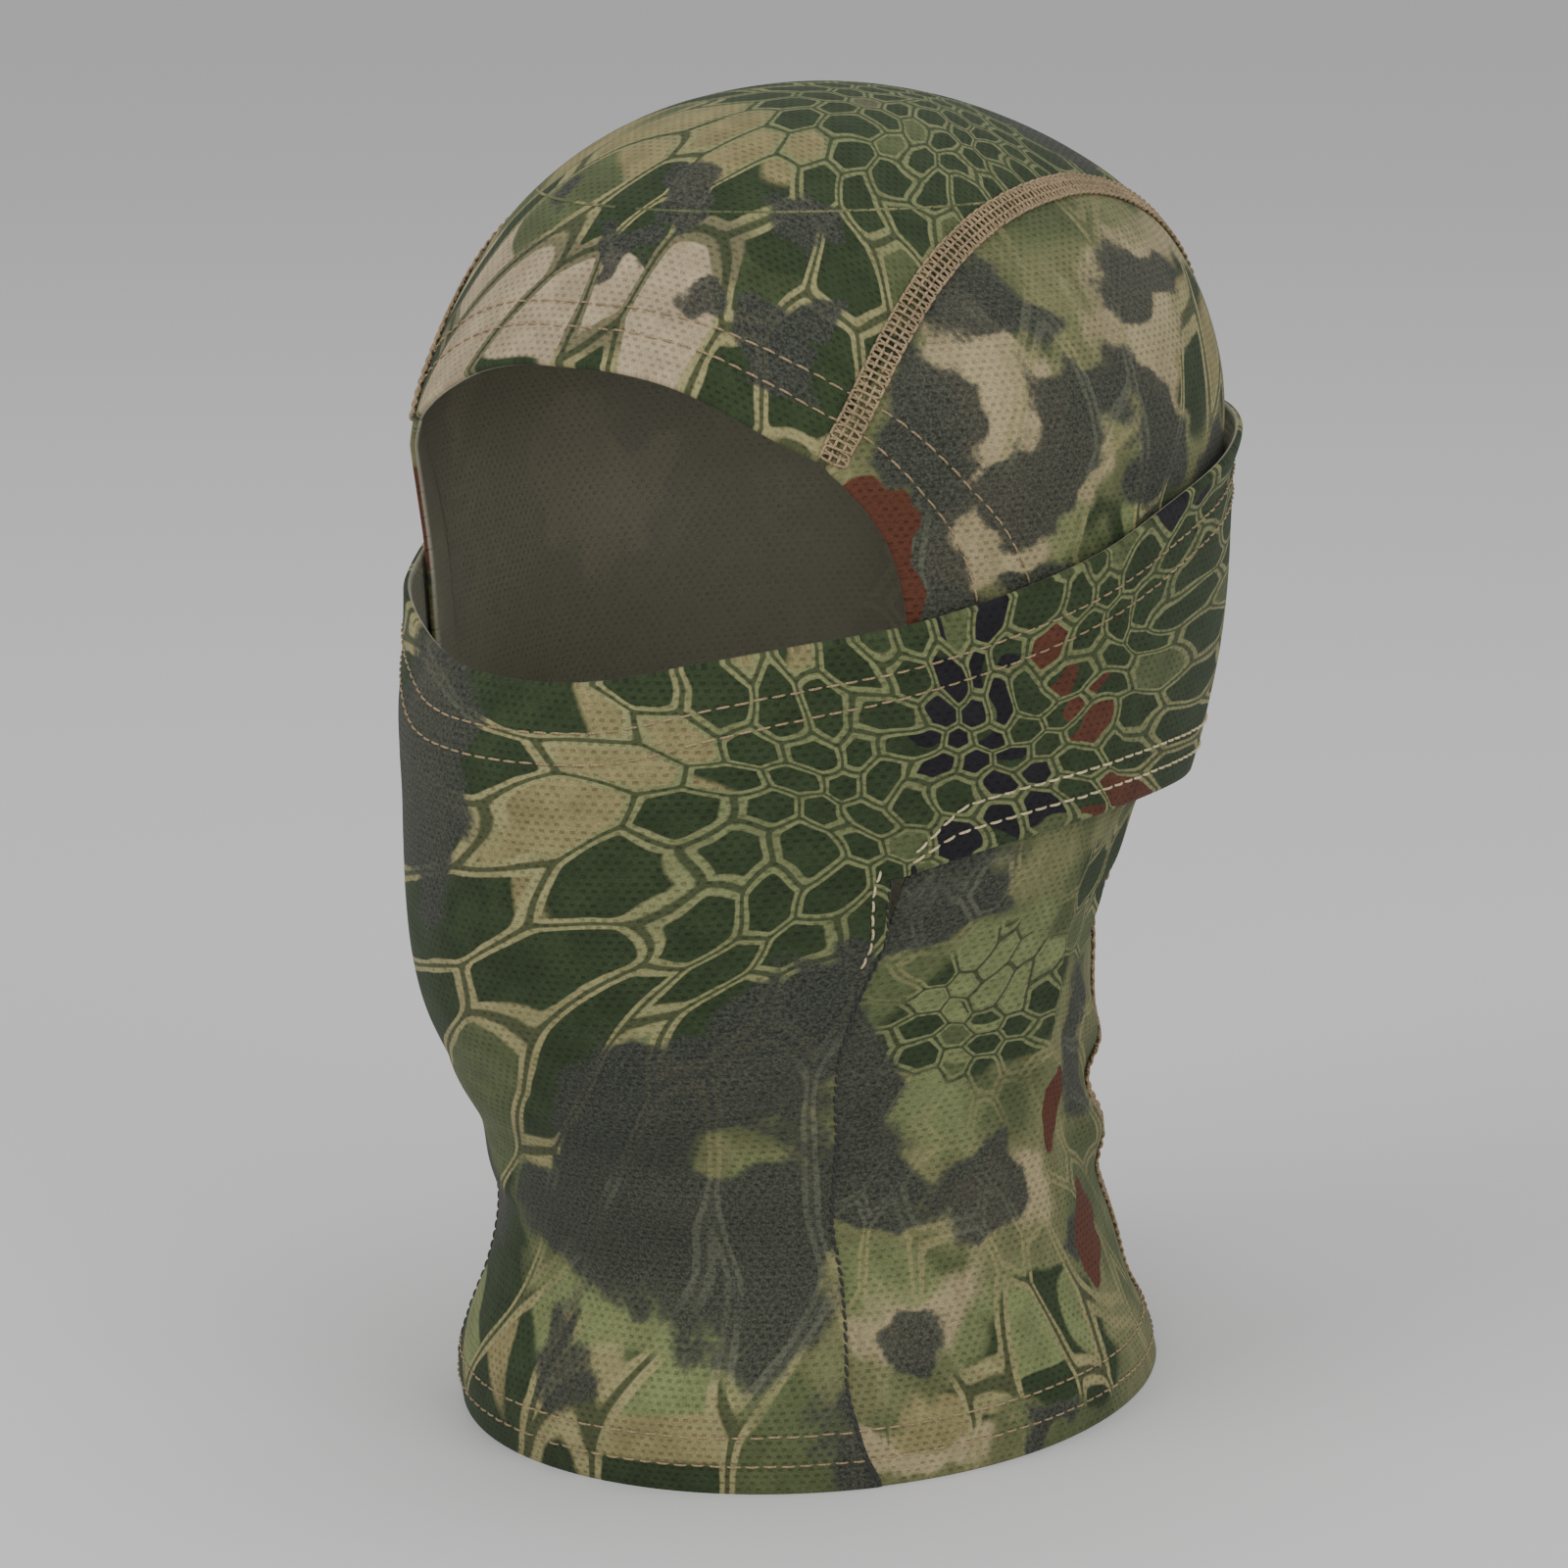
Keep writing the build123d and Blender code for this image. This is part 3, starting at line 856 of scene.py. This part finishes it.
def stretched_net(n, p, at, seed, focus, core, tail, cell, stretch, turn, fold, fold_up):
    """Net of cells: small and even inside the core round its focus, longer and wider away from it."""
    bent = mirrored(n, wandering(n, p, n.noise(at, 0.016, 1.0, 0.5, True), 16.0), fold, fold_up)
    w = n.spin(n.v("SUBTRACT", bent, (focus[0], focus[1], 0.0)), turn)
    toward = n.v("DIVIDE", n.v("MAXIMUM", w, (0.0, -1.0e4, -1.0)), (core / tail, core, 1.0))
    away = n.v("DIVIDE", n.v("MINIMUM", w, (0.0, 1.0e4, 1.0)), (core, core, 1.0e6))
    along = n.v("MULTIPLY", away, (1.0, 0.0, 0.0))
    far = n.m("ADD", n.v("DOT_PRODUCT", toward, toward), n.v("DOT_PRODUCT", along, along))
    dens = n.m("MULTIPLY", n.m("POWER", n.m("ADD", far, 1.0), -stretch / 2), 1.0 / cell)
    q = n.v("SCALE", w, scale=dens)
    kink = n.noise(n.v("ADD", q, (seed * 3.1, 7.7, 0.0)), 0.42, 1.0, 0.5, True)
    q = n.v("ADD", q, n.v("MULTIPLY", n.v("SUBTRACT", kink, (0.5, 0.5, 0.5)), (1.7, 1.7, 0.0)))
    d, hash1, hash2, local = hex_cells(n, q)
    inward = n.spin(n.v("SCALE", local, scale=n.m("DIVIDE", 1.2, dens)), -turn)
    return d, dens, hash1, hash2, n.v("SUBTRACT", p, inward)


def knit(n, u, v, at, printed):
    """Birdseye knit over the print: staggered short slits and fine yarn, with painted shade darkening the
    slits. Colour and height.
    """
    row = n.m("FLOOR", n.m("DIVIDE", v, SLIT_ROW))
    off = n.m("MULTIPLY", n.m("MODULO", n.m("ABSOLUTE", row), 2.0), 0.5)
    fx = n.m("SUBTRACT", n.m("FRACT", n.m("ADD", n.m("DIVIDE", u, SLIT_PITCH), off)), 0.5)
    fy = n.m("SUBTRACT", n.m("FRACT", n.m("DIVIDE", v, SLIT_ROW)), 0.5)
    slit = n.m("MULTIPLY", n.step(n.m("ABSOLUTE", fx), 0.16, 0.30, 1.0, 0.0),
               n.step(n.m("ABSOLUTE", fy), 0.12, 0.28, 1.0, 0.0))
    slit = n.m("MULTIPLY", slit, n.step(n.noise(at, 0.25), 0.35, 0.6, 0.4, 1.0))
    yarn = n.noise(n.v("MULTIPLY", at, (1.0, 2.6, 1.0)), 1.9, 2.0, 0.65)
    yarn_tone_with_slit_shade = n.v("SCALE", printed, scale=n.step(yarn, 0.25, 0.75, 0.76, 1.22))
    # painted shade: the colour is darkened by up to a third in the recessed slits
    yarn_tone_with_slit_shade = n.v("SCALE", yarn_tone_with_slit_shade, scale=n.m("SUBTRACT", 1.0, n.m("MULTIPLY", slit, 0.34)))
    return yarn_tone_with_slit_shade, n.m("SUBTRACT", n.m("MULTIPLY", yarn, 0.4), slit)


def camo(name, focus, seed, flip=False, khaki=(), blotch=(), black=(), brown=(), patch=(), light=(),
         beige=(), net=(), no_net=(), core=30.0, tail=1.0, cell=7.6, stretch=0.7, net_level=0.5,
         blotch_level=0.5, sand=SAND, turn=0.0, fold=None, fold_up=None):
    """Printed knit: a net of cells, washed ground between nets, soft dark blotches, then the yarn.

    Spots are (u, v, reach along u, reach along v, strength) in millimetres on the cloth.
    """
    n = Nodes(name)
    sep = n.add("ShaderNodeSeparateXYZ")
    n.put(sep.inputs[0], n.add("ShaderNodeAttribute", attribute_name="cloth").outputs["Vector"])
    u, v, side = sep.outputs[0], sep.outputs[1], sep.outputs[2]
    p = n.xyz(n.m("MULTIPLY", u, -1.0) if flip else u, v, 0.0)
    at = n.v("ADD", p, (seed * 371.0, seed * 91.0, seed * 17.0))
    wander = n.noise(at, 0.05, 2.0, 0.6, True)
    loose = wandering(n, p, wander, 34.0)
    slow = n.noise(at, 0.028, 2.0)
    coarse = n.noise(at, 0.12, 3.0, 0.6)
    swing = n.m("SUBTRACT", slow, 0.5)

    # net: each cell has a pale rim, and a dark line runs between two rims
    d, dens, hash1, hash2, mid = stretched_net(
        n, p, at, seed, focus, core, tail, cell, stretch, turn, fold, fold_up)
    width = n.m("MULTIPLY", n.m("POWER", dens, 0.62), 0.46)
    width = n.m("MULTIPLY", width, n.step(n.noise(at, 0.07), 0.3, 0.7, 0.78, 1.22))
    band = n.step(d, n.m("MULTIPLY", width, 0.86), n.m("MULTIPLY", width, 1.10), 1.0, 0.0)
    middle = n.step(d, n.m("MULTIPLY", width, 0.20), n.m("MULTIPLY", width, 0.42), 1.0, 0.0)

    # colour of each cell, chosen at its middle
    fill = n.mix(n.step(hash1, 0.84, 0.88), DARK_GREEN, MID_GREEN)
    khaki_cell = n.m("ADD", n.blobs(mid, khaki), n.m("MULTIPLY", hash2, 0.22))
    fill = n.mix(n.step(khaki_cell, 0.42, 0.50), fill, KHAKI)
    for spots, tone, gain in ((light, LIGHT_GREEN, 0.3), (beige, BEIGE, 0.45),
                              (brown, BROWN, 0.3), (black, BLACK, 0.3)):
        if spots:
            chance = n.m("ADD", n.m("MULTIPLY", hash2, gain), n.blobs(mid, spots))
            fill = n.mix(n.step(chance, 0.44, 0.47), fill, tone)
    fill = n.v("SCALE", fill, scale=n.step(coarse, 0.3, 0.72, 0.84, 1.16))

    # ground between the nets: washed green and sand with drawn-out streaks
    streak = n.noise(n.v("MULTIPLY", at, (2.2, 0.55, 1.0)), 0.075, 3.0, 0.62)
    sandy = n.m("ADD", n.blobs(loose, khaki), n.m("MULTIPLY", swing, 0.5))
    plain = n.mix(n.step(slow, 0.40, 0.56), MID_GREEN, OLIVE)
    plain = n.mix(n.step(n.m("ADD", sandy, n.m("MULTIPLY", streak, 0.35)), 0.30, 0.52), plain, sand)
    if light:
        plain = n.mix(n.step(n.blobs(loose, light), 0.15, 0.5, 0.0, 0.8), plain, LIGHT_GREEN)
    plain = n.v("SCALE", plain, scale=n.step(streak, 0.3, 0.7, 0.84, 1.12))

    # where the net shows, and where only a faint trace of it is left
    shown = n.m("SUBTRACT", n.m("ADD", net_level, n.blobs(loose, net)), n.blobs(loose, no_net))
    shown = n.m("ADD", shown, n.m("MULTIPLY", swing, 0.4))
    shown = n.step(n.m("ADD", shown, n.m("MULTIPLY", hash1, 0.16)), 0.30, 0.62)
    rim = n.mix(n.step(dens, 0.055, 0.11), LINE, LINE_TIGHT)
    rim = n.mix(n.step(coarse, 0.42, 0.62), rim, n.v("SCALE", rim, scale=0.82))
    if beige:
        rim = n.mix(n.step(n.blobs(p, beige), 0.25, 0.45, 0.0, 0.8), rim, BEIGE_RIM)
    drawn = n.mix(band, fill, rim)
    drawn = n.mix(n.m("MULTIPLY", middle, 0.85), drawn, EDGE)
    printed = n.mix(shown, plain, drawn)
    faint = n.m("MULTIPLY", band, n.m("SUBTRACT", 1.0, n.m("MULTIPLY", middle, 0.8)))
    faint = n.m("MULTIPLY", faint, n.step(n.noise(at, 0.033, 2.0), 0.42, 0.60, 0.06, 0.75))
    faint = n.m("MULTIPLY", faint, n.m("SUBTRACT", 1.0, shown))
    printed = n.mix(faint, printed, n.v("SCALE", LINE, scale=0.9))

    # soft blotches over everything, grainy at their edges
    soft = n.noise(n.v("ADD", at, (9.0, 40.0, 11.0)), 0.045, 2.0, 0.5)
    level = n.m("ADD", n.m("MULTIPLY", soft, 0.55), n.blobs(loose, blotch))
    rough = n.m("SUBTRACT", n.noise(at, 0.85, 3.0, 0.75), 0.5)
    level = n.m("ADD", level, n.m("MULTIPLY", rough, 0.40))
    dark = n.step(level, blotch_level, blotch_level + 0.22)
    ash = n.mix(n.step(n.noise(at, 1.7, 3.0, 0.7), 0.34, 0.66), CHARCOAL_DEEP, CHARCOAL)
    ash = n.mix(n.m("MULTIPLY", faint, 0.45), ash, ASH_LINE)
    printed = n.mix(n.m("MULTIPLY", dark, 0.93), printed, ash)
    if patch:
        near = wandering(n, p, wander, 18.0)
        printed = n.mix(n.step(n.blobs(near, patch), 0.28, 0.34), printed, BROWN)

    yarn_tone_with_slit_shade, height = knit(n, u, v, at, printed)
    n.put(n.bsdf.inputs["Base Color"], n.mix(n.step(side, 0.2, 0.8), yarn_tone_with_slit_shade, n.mix(0.72, yarn_tone_with_slit_shade, PALE)))
    n.put(n.bsdf.inputs["Roughness"], 0.88)
    n.put(n.bsdf.inputs["Sheen Weight"], 0.04)
    n.put(n.bsdf.inputs["Sheen Roughness"], 0.5)
    n.put(n.bsdf.inputs["Specular IOR Level"], 0.12)
    n.bump(height, 0.55, 0.0004)
    return n.mat


def thread_mat(name, color, dark):
    """Spun thread: a fine twist of two tones."""
    n = Nodes(name)
    geo = n.add("ShaderNodeTexCoord").outputs["Object"]
    twist = n.noise(geo, 2600.0, 2.0, 0.6)
    slow = n.noise(geo, 90.0, 2.0, 0.5)
    tone = n.mix(n.step(twist, 0.3, 0.7), dark, color)
    n.put(n.bsdf.inputs["Base Color"], n.v("SCALE", tone, scale=n.step(slow, 0.3, 0.7, 0.85, 1.1)))
    n.put(n.bsdf.inputs["Roughness"], 0.7)
    n.put(n.bsdf.inputs["Sheen Weight"], 0.04)
    n.bump(twist, 0.4, 0.0001)
    return n.mat


tan_mat = thread_mat("tan_thread", rgb(156, 135, 102), rgb(112, 94, 68))
cream_mat = thread_mat("cream_thread", rgb(206, 194, 156), rgb(160, 146, 108))
# dark thread: its near-black colour is painted shade of the gaps in the closed seams
seam_gap_shade_mat = thread_mat("dark_thread", rgb(40, 40, 36), rgb(22, 22, 20))

# layouts of the print on each panel, and the threads
front_mat = camo(
    "camo_front", (68.0, 142.0), 1.0, core=34.0, tail=0.3, cell=7.7, stretch=0.86, turn=-0.58,
    net_level=1.0, fold=-45.0,
    khaki=((30, 4, 30, 11, 0.5), (-22, 6, 22, 11, 0.5), (28, 158, 26, 12, 0.6), (8, 146, 24, 10, 0.6),
           (6, 129, 18, 7, 0.55), (44, 176, 20, 8, 0.5), (-34, 168, 20, 12, 0.5), (-110, 120, 24, 20, 0.5)),
    blotch=((-24, 146, 22, 36, 0.75), (34, 88, 32, 17, 0.62), (60, 100, 22, 18, 0.6), (16, 64, 28, 18, 0.6),
            (0, 50, 26, 20, 0.6), (38, 42, 26, 28, 0.62), (62, 62, 22, 22, 0.55), (66, 8, 16, 20, 0.6),
            (-50, 56, 28, 28, 0.5), (-80, 120, 26, 24, 0.5), (-4, 22, 12, 14, 0.45),
            (-90, 40, 24, 26, 0.5)),
    black=((94, 180, 9, 9, 0.7), (88, 163, 11, 10, 0.7), (84, 152, 9, 8, 0.6), (98, 144, 14, 9, 0.6),
           (84, 134, 10, 8, 0.6), (-180, 178, 20, 14, 0.5), (212, 168, 20, 12, 0.5),
            (146, 198, 14, 9, 0.6)),
    brown=((106, 172, 8, 8, 0.75), (114, 160, 8, 8, 0.75), (-196, 160, 12, 10, 0.6),
            (124, 138, 14, 6, 0.7)),
    light=((36, 96, 14, 8, 0.5), (46, 62, 14, 12, 0.5), (48, 84, 10, 6, 0.5), (8, 22, 50, 26, 0.6),
           (-70, 20, 40, 20, 0.5)),
    no_net=((62, 66, 38, 34, 1.2), (10, 48, 44, 30, 1.2), (60, 30, 40, 24, 0.8), (-24, 148, 22, 36, 0.8),
            (-90, 50, 40, 40, 1.2)))
side_mat = camo(
    "camo_left", (108.0, 104.0), 2.0, cell=7.4, net_level=-0.05,
    khaki=((98, 232, 18, 28, 0.6), (99, 203, 16, 13, 0.5), (160, 246, 36, 24, 0.5), (100, 36, 22, 14, 0.4),
           (120, 210, 14, 18, 0.35), (120, 56, 18, 12, 0.3), (90, 8, 24, 12, 0.5)),
    blotch=((82, 228, 14, 22, 0.68), (115, 228, 14, 17, 0.68), (106, 211, 18, 11, 0.66),
            (137, 230, 14, 13, 0.66),
            (84, 203, 11, 14, 0.62), (104, 252, 22, 12, 0.62), (146, 214, 16, 16, 0.66),
            (152, 252, 22, 10, 0.6),
            (84, 186, 18, 12, 0.66), (112, 192, 14, 9, 0.6), (92, 126, 26, 13, 0.75), (86, 90, 18, 26, 0.7),
            (90, 62, 18, 12, 0.66), (114, 60, 12, 16, 0.6), (98, 30, 10, 9, 0.55), (120, 4, 12, 7, 0.6),
            (178, 200, 20, 22, 0.6), (150, 84, 14, 24, 0.55), (146, 40, 12, 10, 0.55)),
    patch=((70, 200, 14, 22, 0.8), (152, 40, 8, 16, 0.8), (138, 70, 6, 14, 0.6)),
    light=((116, 108, 20, 16, 0.6), (106, 80, 12, 12, 0.5), (92, 44, 18, 10, 0.45), (120, 204, 12, 10, 0.5),
           (122, 26, 20, 14, 0.5)),
    net=((116, 100, 26, 20, 1.0), (130, 20, 26, 18, 0.9), (96, 14, 20, 10, 0.6), (140, 200, 24, 14, 0.7),
         (160, 120, 36, 26, 0.7), (172, 236, 26, 26, 0.7)))
right_mat = camo(
    "camo_right", (120.0, 118.0), 5.0, flip=True, net_level=0.1,
    khaki=((98, 228, 26, 26, 0.6), (150, 190, 26, 26, 0.5), (130, 60, 26, 20, 0.4)),
    blotch=((90, 216, 17, 24, 0.68), (130, 236, 22, 16, 0.66), (104, 70, 20, 26, 0.66),
            (160, 216, 18, 22, 0.66),
            (140, 30, 22, 18, 0.6), (92, 176, 16, 14, 0.6), (84, 32, 14, 20, 0.6)),
    patch=((72, 192, 12, 20, 0.8), (150, 64, 10, 14, 0.7)), light=((130, 110, 26, 20, 0.5),),
    net=((124, 116, 34, 28, 0.9), (150, 40, 30, 20, 0.7)))
crown_mat = camo(
    "camo_crown", (34.0, 100.0), 3.0, cell=7.2, stretch=0.72, net_level=0.95, fold_up=235.0,
    khaki=((-6, 58, 44, 18, 0.6), (14, 62, 20, 14, 0.45)),
    beige=((-12, 14, 26, 20, 0.5), (10, 14, 20, 16, 0.5), (24, 30, 16, 13, 0.45), (-40, 14, 28, 28, 0.5)),
    blotch=((42, 15, 14, 11, 0.68), (11, 38, 7, 12, 0.68), (3, 24, 6, 10, 0.64), (35, 46, 12, 13, 0.66),
            (24, 15, 6, 7, 0.56), (-18, 40, 8, 8, 0.5), (48, 30, 10, 8, 0.5), (30, 150, 26, 20, 0.5),
            (-30, 150, 30, 24, 0.5), (10, 230, 34, 34, 0.5), (-20, 330, 22, 26, 0.6),
            (24, 400, 22, 22, 0.6),
            (-16, 440, 18, 14, 0.5)),
    light=((36, 30, 8, 10, 0.4), (46, 4, 12, 8, 0.4), (-8, 380, 24, 22, 0.45)),
    no_net=((0, 200, 50, 34, 0.5),), blotch_level=0.52, sand=KHAKI)

# ------------------------------------------------------------------ cloth pieces
crown = panel_object("crown_cloth", crown_face, crown_normal, crown_T, crown_uv, crown_mat)
left = panel_object("left_hood_cloth", side_face, side_normal, side_T, side_uv, side_mat)
flip = np.array([-1.0, 1.0, 1.0])
right = panel_object("right_hood_cloth", (side_face * flip)[:, ::-1], (side_normal * flip)[:, ::-1],
                     side_T[:, ::-1], (side_uv * flip)[:, ::-1], right_mat)
P, faces, N, T, uv = build_front()
front = write_mesh("front_cloth", *shell(P, faces, N, T, uv), front_mat)
for obj, node in ((crown, "crown_panel"), (left, "left_hood_panel"), (right, "right_hood_panel")):
    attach(obj, "hood")
    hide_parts(node)
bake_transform(front)
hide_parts("face_cover", "neck_front_panel")

# ------------------------------------------------------------------ rows of stitches
arch_half = arch_line[arch_line[:, 1] >= 150]
for distance, node in zip(OPENING_ROWS, ("opening_inner_row", "opening_outer_row")):
    half = moved_edge(arch_half, distance)
    half = half[half[:, 0] > MIDDLE_GAP]
    line = np.concatenate([half[::-1], half * np.array([-1.0, 1.0])])
    a = sizes(HEAD, line[:, 1])[0]
    P, N = head_point(np.arcsin(np.clip(line[:, 0] / a, -1, 1)), line[:, 1], ON_CLOTH)
    row_object(node + "_stitches", stitches(P, N, *TAN_STITCH), tan_mat, "hood", node)


def cover_row(edge, distance, turns):
    """Row at a distance above an edge of the cover; a negative distance is below it."""
    z = np.full_like(turns, 170.0)
    for _ in range(14):
        z = read(edge, place(COVER, turns, z)[..., 1]) + distance
    return front_point(turns, z, ON_CLOTH)


round_turns = np.linspace(-math.pi + 0.02, math.pi - 0.02, 500)
for distance, node in zip(COVER_TOP_ROWS, ("cover_top_upper_row", "cover_top_lower_row")):
    P, N = cover_row(wing_top_line, -distance, round_turns)
    row_object(node + "_stitches", stitches(P, N, *TAN_STITCH), tan_mat, "cover", node)
wing_turns = np.linspace(math.radians(56.0), math.radians(304.0), 400)
wing_turns = np.where(wing_turns > math.pi, wing_turns - 2 * math.pi, wing_turns)
for distance, node in zip(WING_BOTTOM_ROWS, ("wing_bottom_lower_row", "wing_bottom_upper_row")):
    rise = distance * ramp(np.abs(wing_turns), math.radians(52.0), math.radians(62.0))
    P, N = cover_row(wing_bottom_line, rise, wing_turns)
    row_object(node + "_stitches", stitches(P, N, *CREAM_STITCH), cream_mat, "cover", node)
for height, node in zip(HEM_ROWS, ("hem_lower_row", "hem_upper_row")):
    turns = np.linspace(-math.pi, math.pi, 600)
    z = np.full_like(turns, height)
    P, N = head_point(turns, z, ON_CLOTH)
    Q, M = front_point(turns, z, ON_CLOTH)
    use = (np.abs(turns) < seam_turn(z))[:, None]
    row = stitches(np.where(use, Q, P), np.where(use, M, N), *TAN_STITCH)
    row_object(node + "_stitches", row, tan_mat, "hood", node)

# side seams: a dark thread chain laid in the groove between the two cloths; its dark colour is painted
# shade of the gap in the seam
for side, word in ((1, "left"), (-1, "right")):
    z = np.linspace(SEAM_TOP_Z, 1.5, 220)
    P, N = front_point(seam_turn(z) * side, z, -0.1)
    # painted shade: the dark chain darkens the seam groove
    chain = stitches(P, N, *SIDE_STITCH, lean=0.5)
    row_object(word + "_side_seam_shade_chain", chain, seam_gap_shade_mat, "hood", word + "_side_seam", True)
    z = np.linspace(131.0, 108.0, 60)
    P, N = front_point((seam_turn(z) - 0.035) * side, z, ON_CLOTH)
    row_object(word + "_corner_tack_thread", stitches(P, N, *TACK_STITCH), cream_mat, "cover",
               word + "_corner_tack", True)

# band's back seam: the same dark thread, painted shade of the seam gap
z = np.linspace(130.5, 204.5, 160)
P, N = front_point(np.full_like(z, math.pi - 1e-4), z, 0.1)
P[:, 0] = 0.0
row_object("band_back_seam_shade_chain", stitches(P, N, *BAND_STITCH, lean=0.6), seam_gap_shade_mat, "cover",
           "band_back_seam")


def flat_seam(P, N):
    """Flat seam beside the crown strip: four needle lines and two laced looper threads."""
    step = 0.35
    Q, M, length = resample(P, N, step)
    tangent = unit(np.gradient(Q, axis=0))
    across = unit(np.cross(M, tangent))
    s = np.arange(len(Q)) * step
    pieces = []
    half = 2.7
    for phase, rise in ((0.0, 0.50), (math.pi, 0.62)):
        wave = np.sin(s / 3.1 * 2 * math.pi + phase)
        wave = np.sign(wave) * np.abs(wave) ** 0.3
        jitter = 0.12 * np.interp(s, np.linspace(0, length, 300), rng.normal(size=300))
        path = Q + across * (wave * half + jitter)[:, None] + M * (rise - 0.22 * np.abs(wave) ** 4)[:, None]
        pieces.append(tube(path, M, 0.27))
    for offset in (-half, -0.9, 0.9, half):
        pieces.append(stitches(Q + across * offset + M * 0.42, M, *NEEDLE_STITCH))
    return gather(pieces)


for side, word in ((1, "left"), (-1, "right")):
    line = crown_base[:, -1] if side > 0 else crown_base[:, 0]
    N = normals(HEAD, line)
    F = line + N * head_shape(line)[:, None]
    keep = line[:, 2] > 1.0
    keep |= line[:, 1] < 0
    row_object(word + "_crown_seam_threads", flat_seam(F[keep], N[keep]), tan_mat, "hood",
               word + "_crown_seam")

# ------------------------------------------------------------------ stage
bpy.ops.mesh.primitive_plane_add(size=40.0, location=(0, 0, -0.0005))
floor = bpy.context.object
floor.name = "floor"
paint = Nodes("floor_paint")
paint.put(paint.bsdf.inputs["Base Color"], (0.64, 0.64, 0.64, 1.0))
paint.put(paint.bsdf.inputs["Roughness"], 0.9)
floor.data.materials.append(paint.mat)


def area(name, position, target, size, power):
    """Square lamp aimed at a point."""
    data = bpy.data.lights.new(name, "AREA")
    data.size = size
    data.energy = power
    lamp = bpy.data.objects.new(name, data)
    bpy.context.scene.collection.objects.link(lamp)
    lamp.location = position
    lamp.rotation_euler = (Vector(target) - Vector(position)).to_track_quat("-Z", "Y").to_euler()


area("key", (-0.6, -1.7, 1.4), (0, 0, 0.16), 1.1, 19)
area("fill", (1.8, -0.4, 0.9), (0, 0, 0.16), 1.3, 13)
area("front", (0.75, -1.35, 0.42), (0, 0, 0.20), 0.7, 5)
area("top", (0.1, 0.3, 2.0), (0, 0, 0.2), 1.2, 9)
world = bpy.data.worlds.new("world")
bpy.context.scene.world = world
world.use_nodes = True
world.node_tree.nodes["Background"].inputs["Color"].default_value = (0.8, 0.8, 0.8, 1)
world.node_tree.nodes["Background"].inputs["Strength"].default_value = 0.80

# camera: the photograph's three-quarter view, a little above; lengths in metres, focal length in mm
azimuth, distance, height, pitch = math.radians(36.0), 1.040, 0.359, math.radians(12.4)
focal = 114.525
yaw = 0.005894
flat_ahead = Vector((-math.sin(azimuth + yaw), math.cos(azimuth + yaw), 0))
camera_right = Vector((math.cos(azimuth + yaw), math.sin(azimuth + yaw), 0))
ahead = flat_ahead * math.cos(pitch) - Vector((0, 0, 1)) * math.sin(pitch)
camera_up = camera_right.cross(ahead)
data = bpy.data.cameras.new("camera")
data.lens = focal
data.sensor_width = 36.0
camera = bpy.data.objects.new("camera", data)
bpy.context.scene.collection.objects.link(camera)
turn = Matrix((camera_right, camera_up, -ahead)).transposed()
spot = Vector((distance * math.sin(azimuth), -distance * math.cos(azimuth) + CENTRE_Y * MM, height))
camera.matrix_world = Matrix.Translation(spot) @ turn.to_4x4()
bpy.context.scene.camera = camera
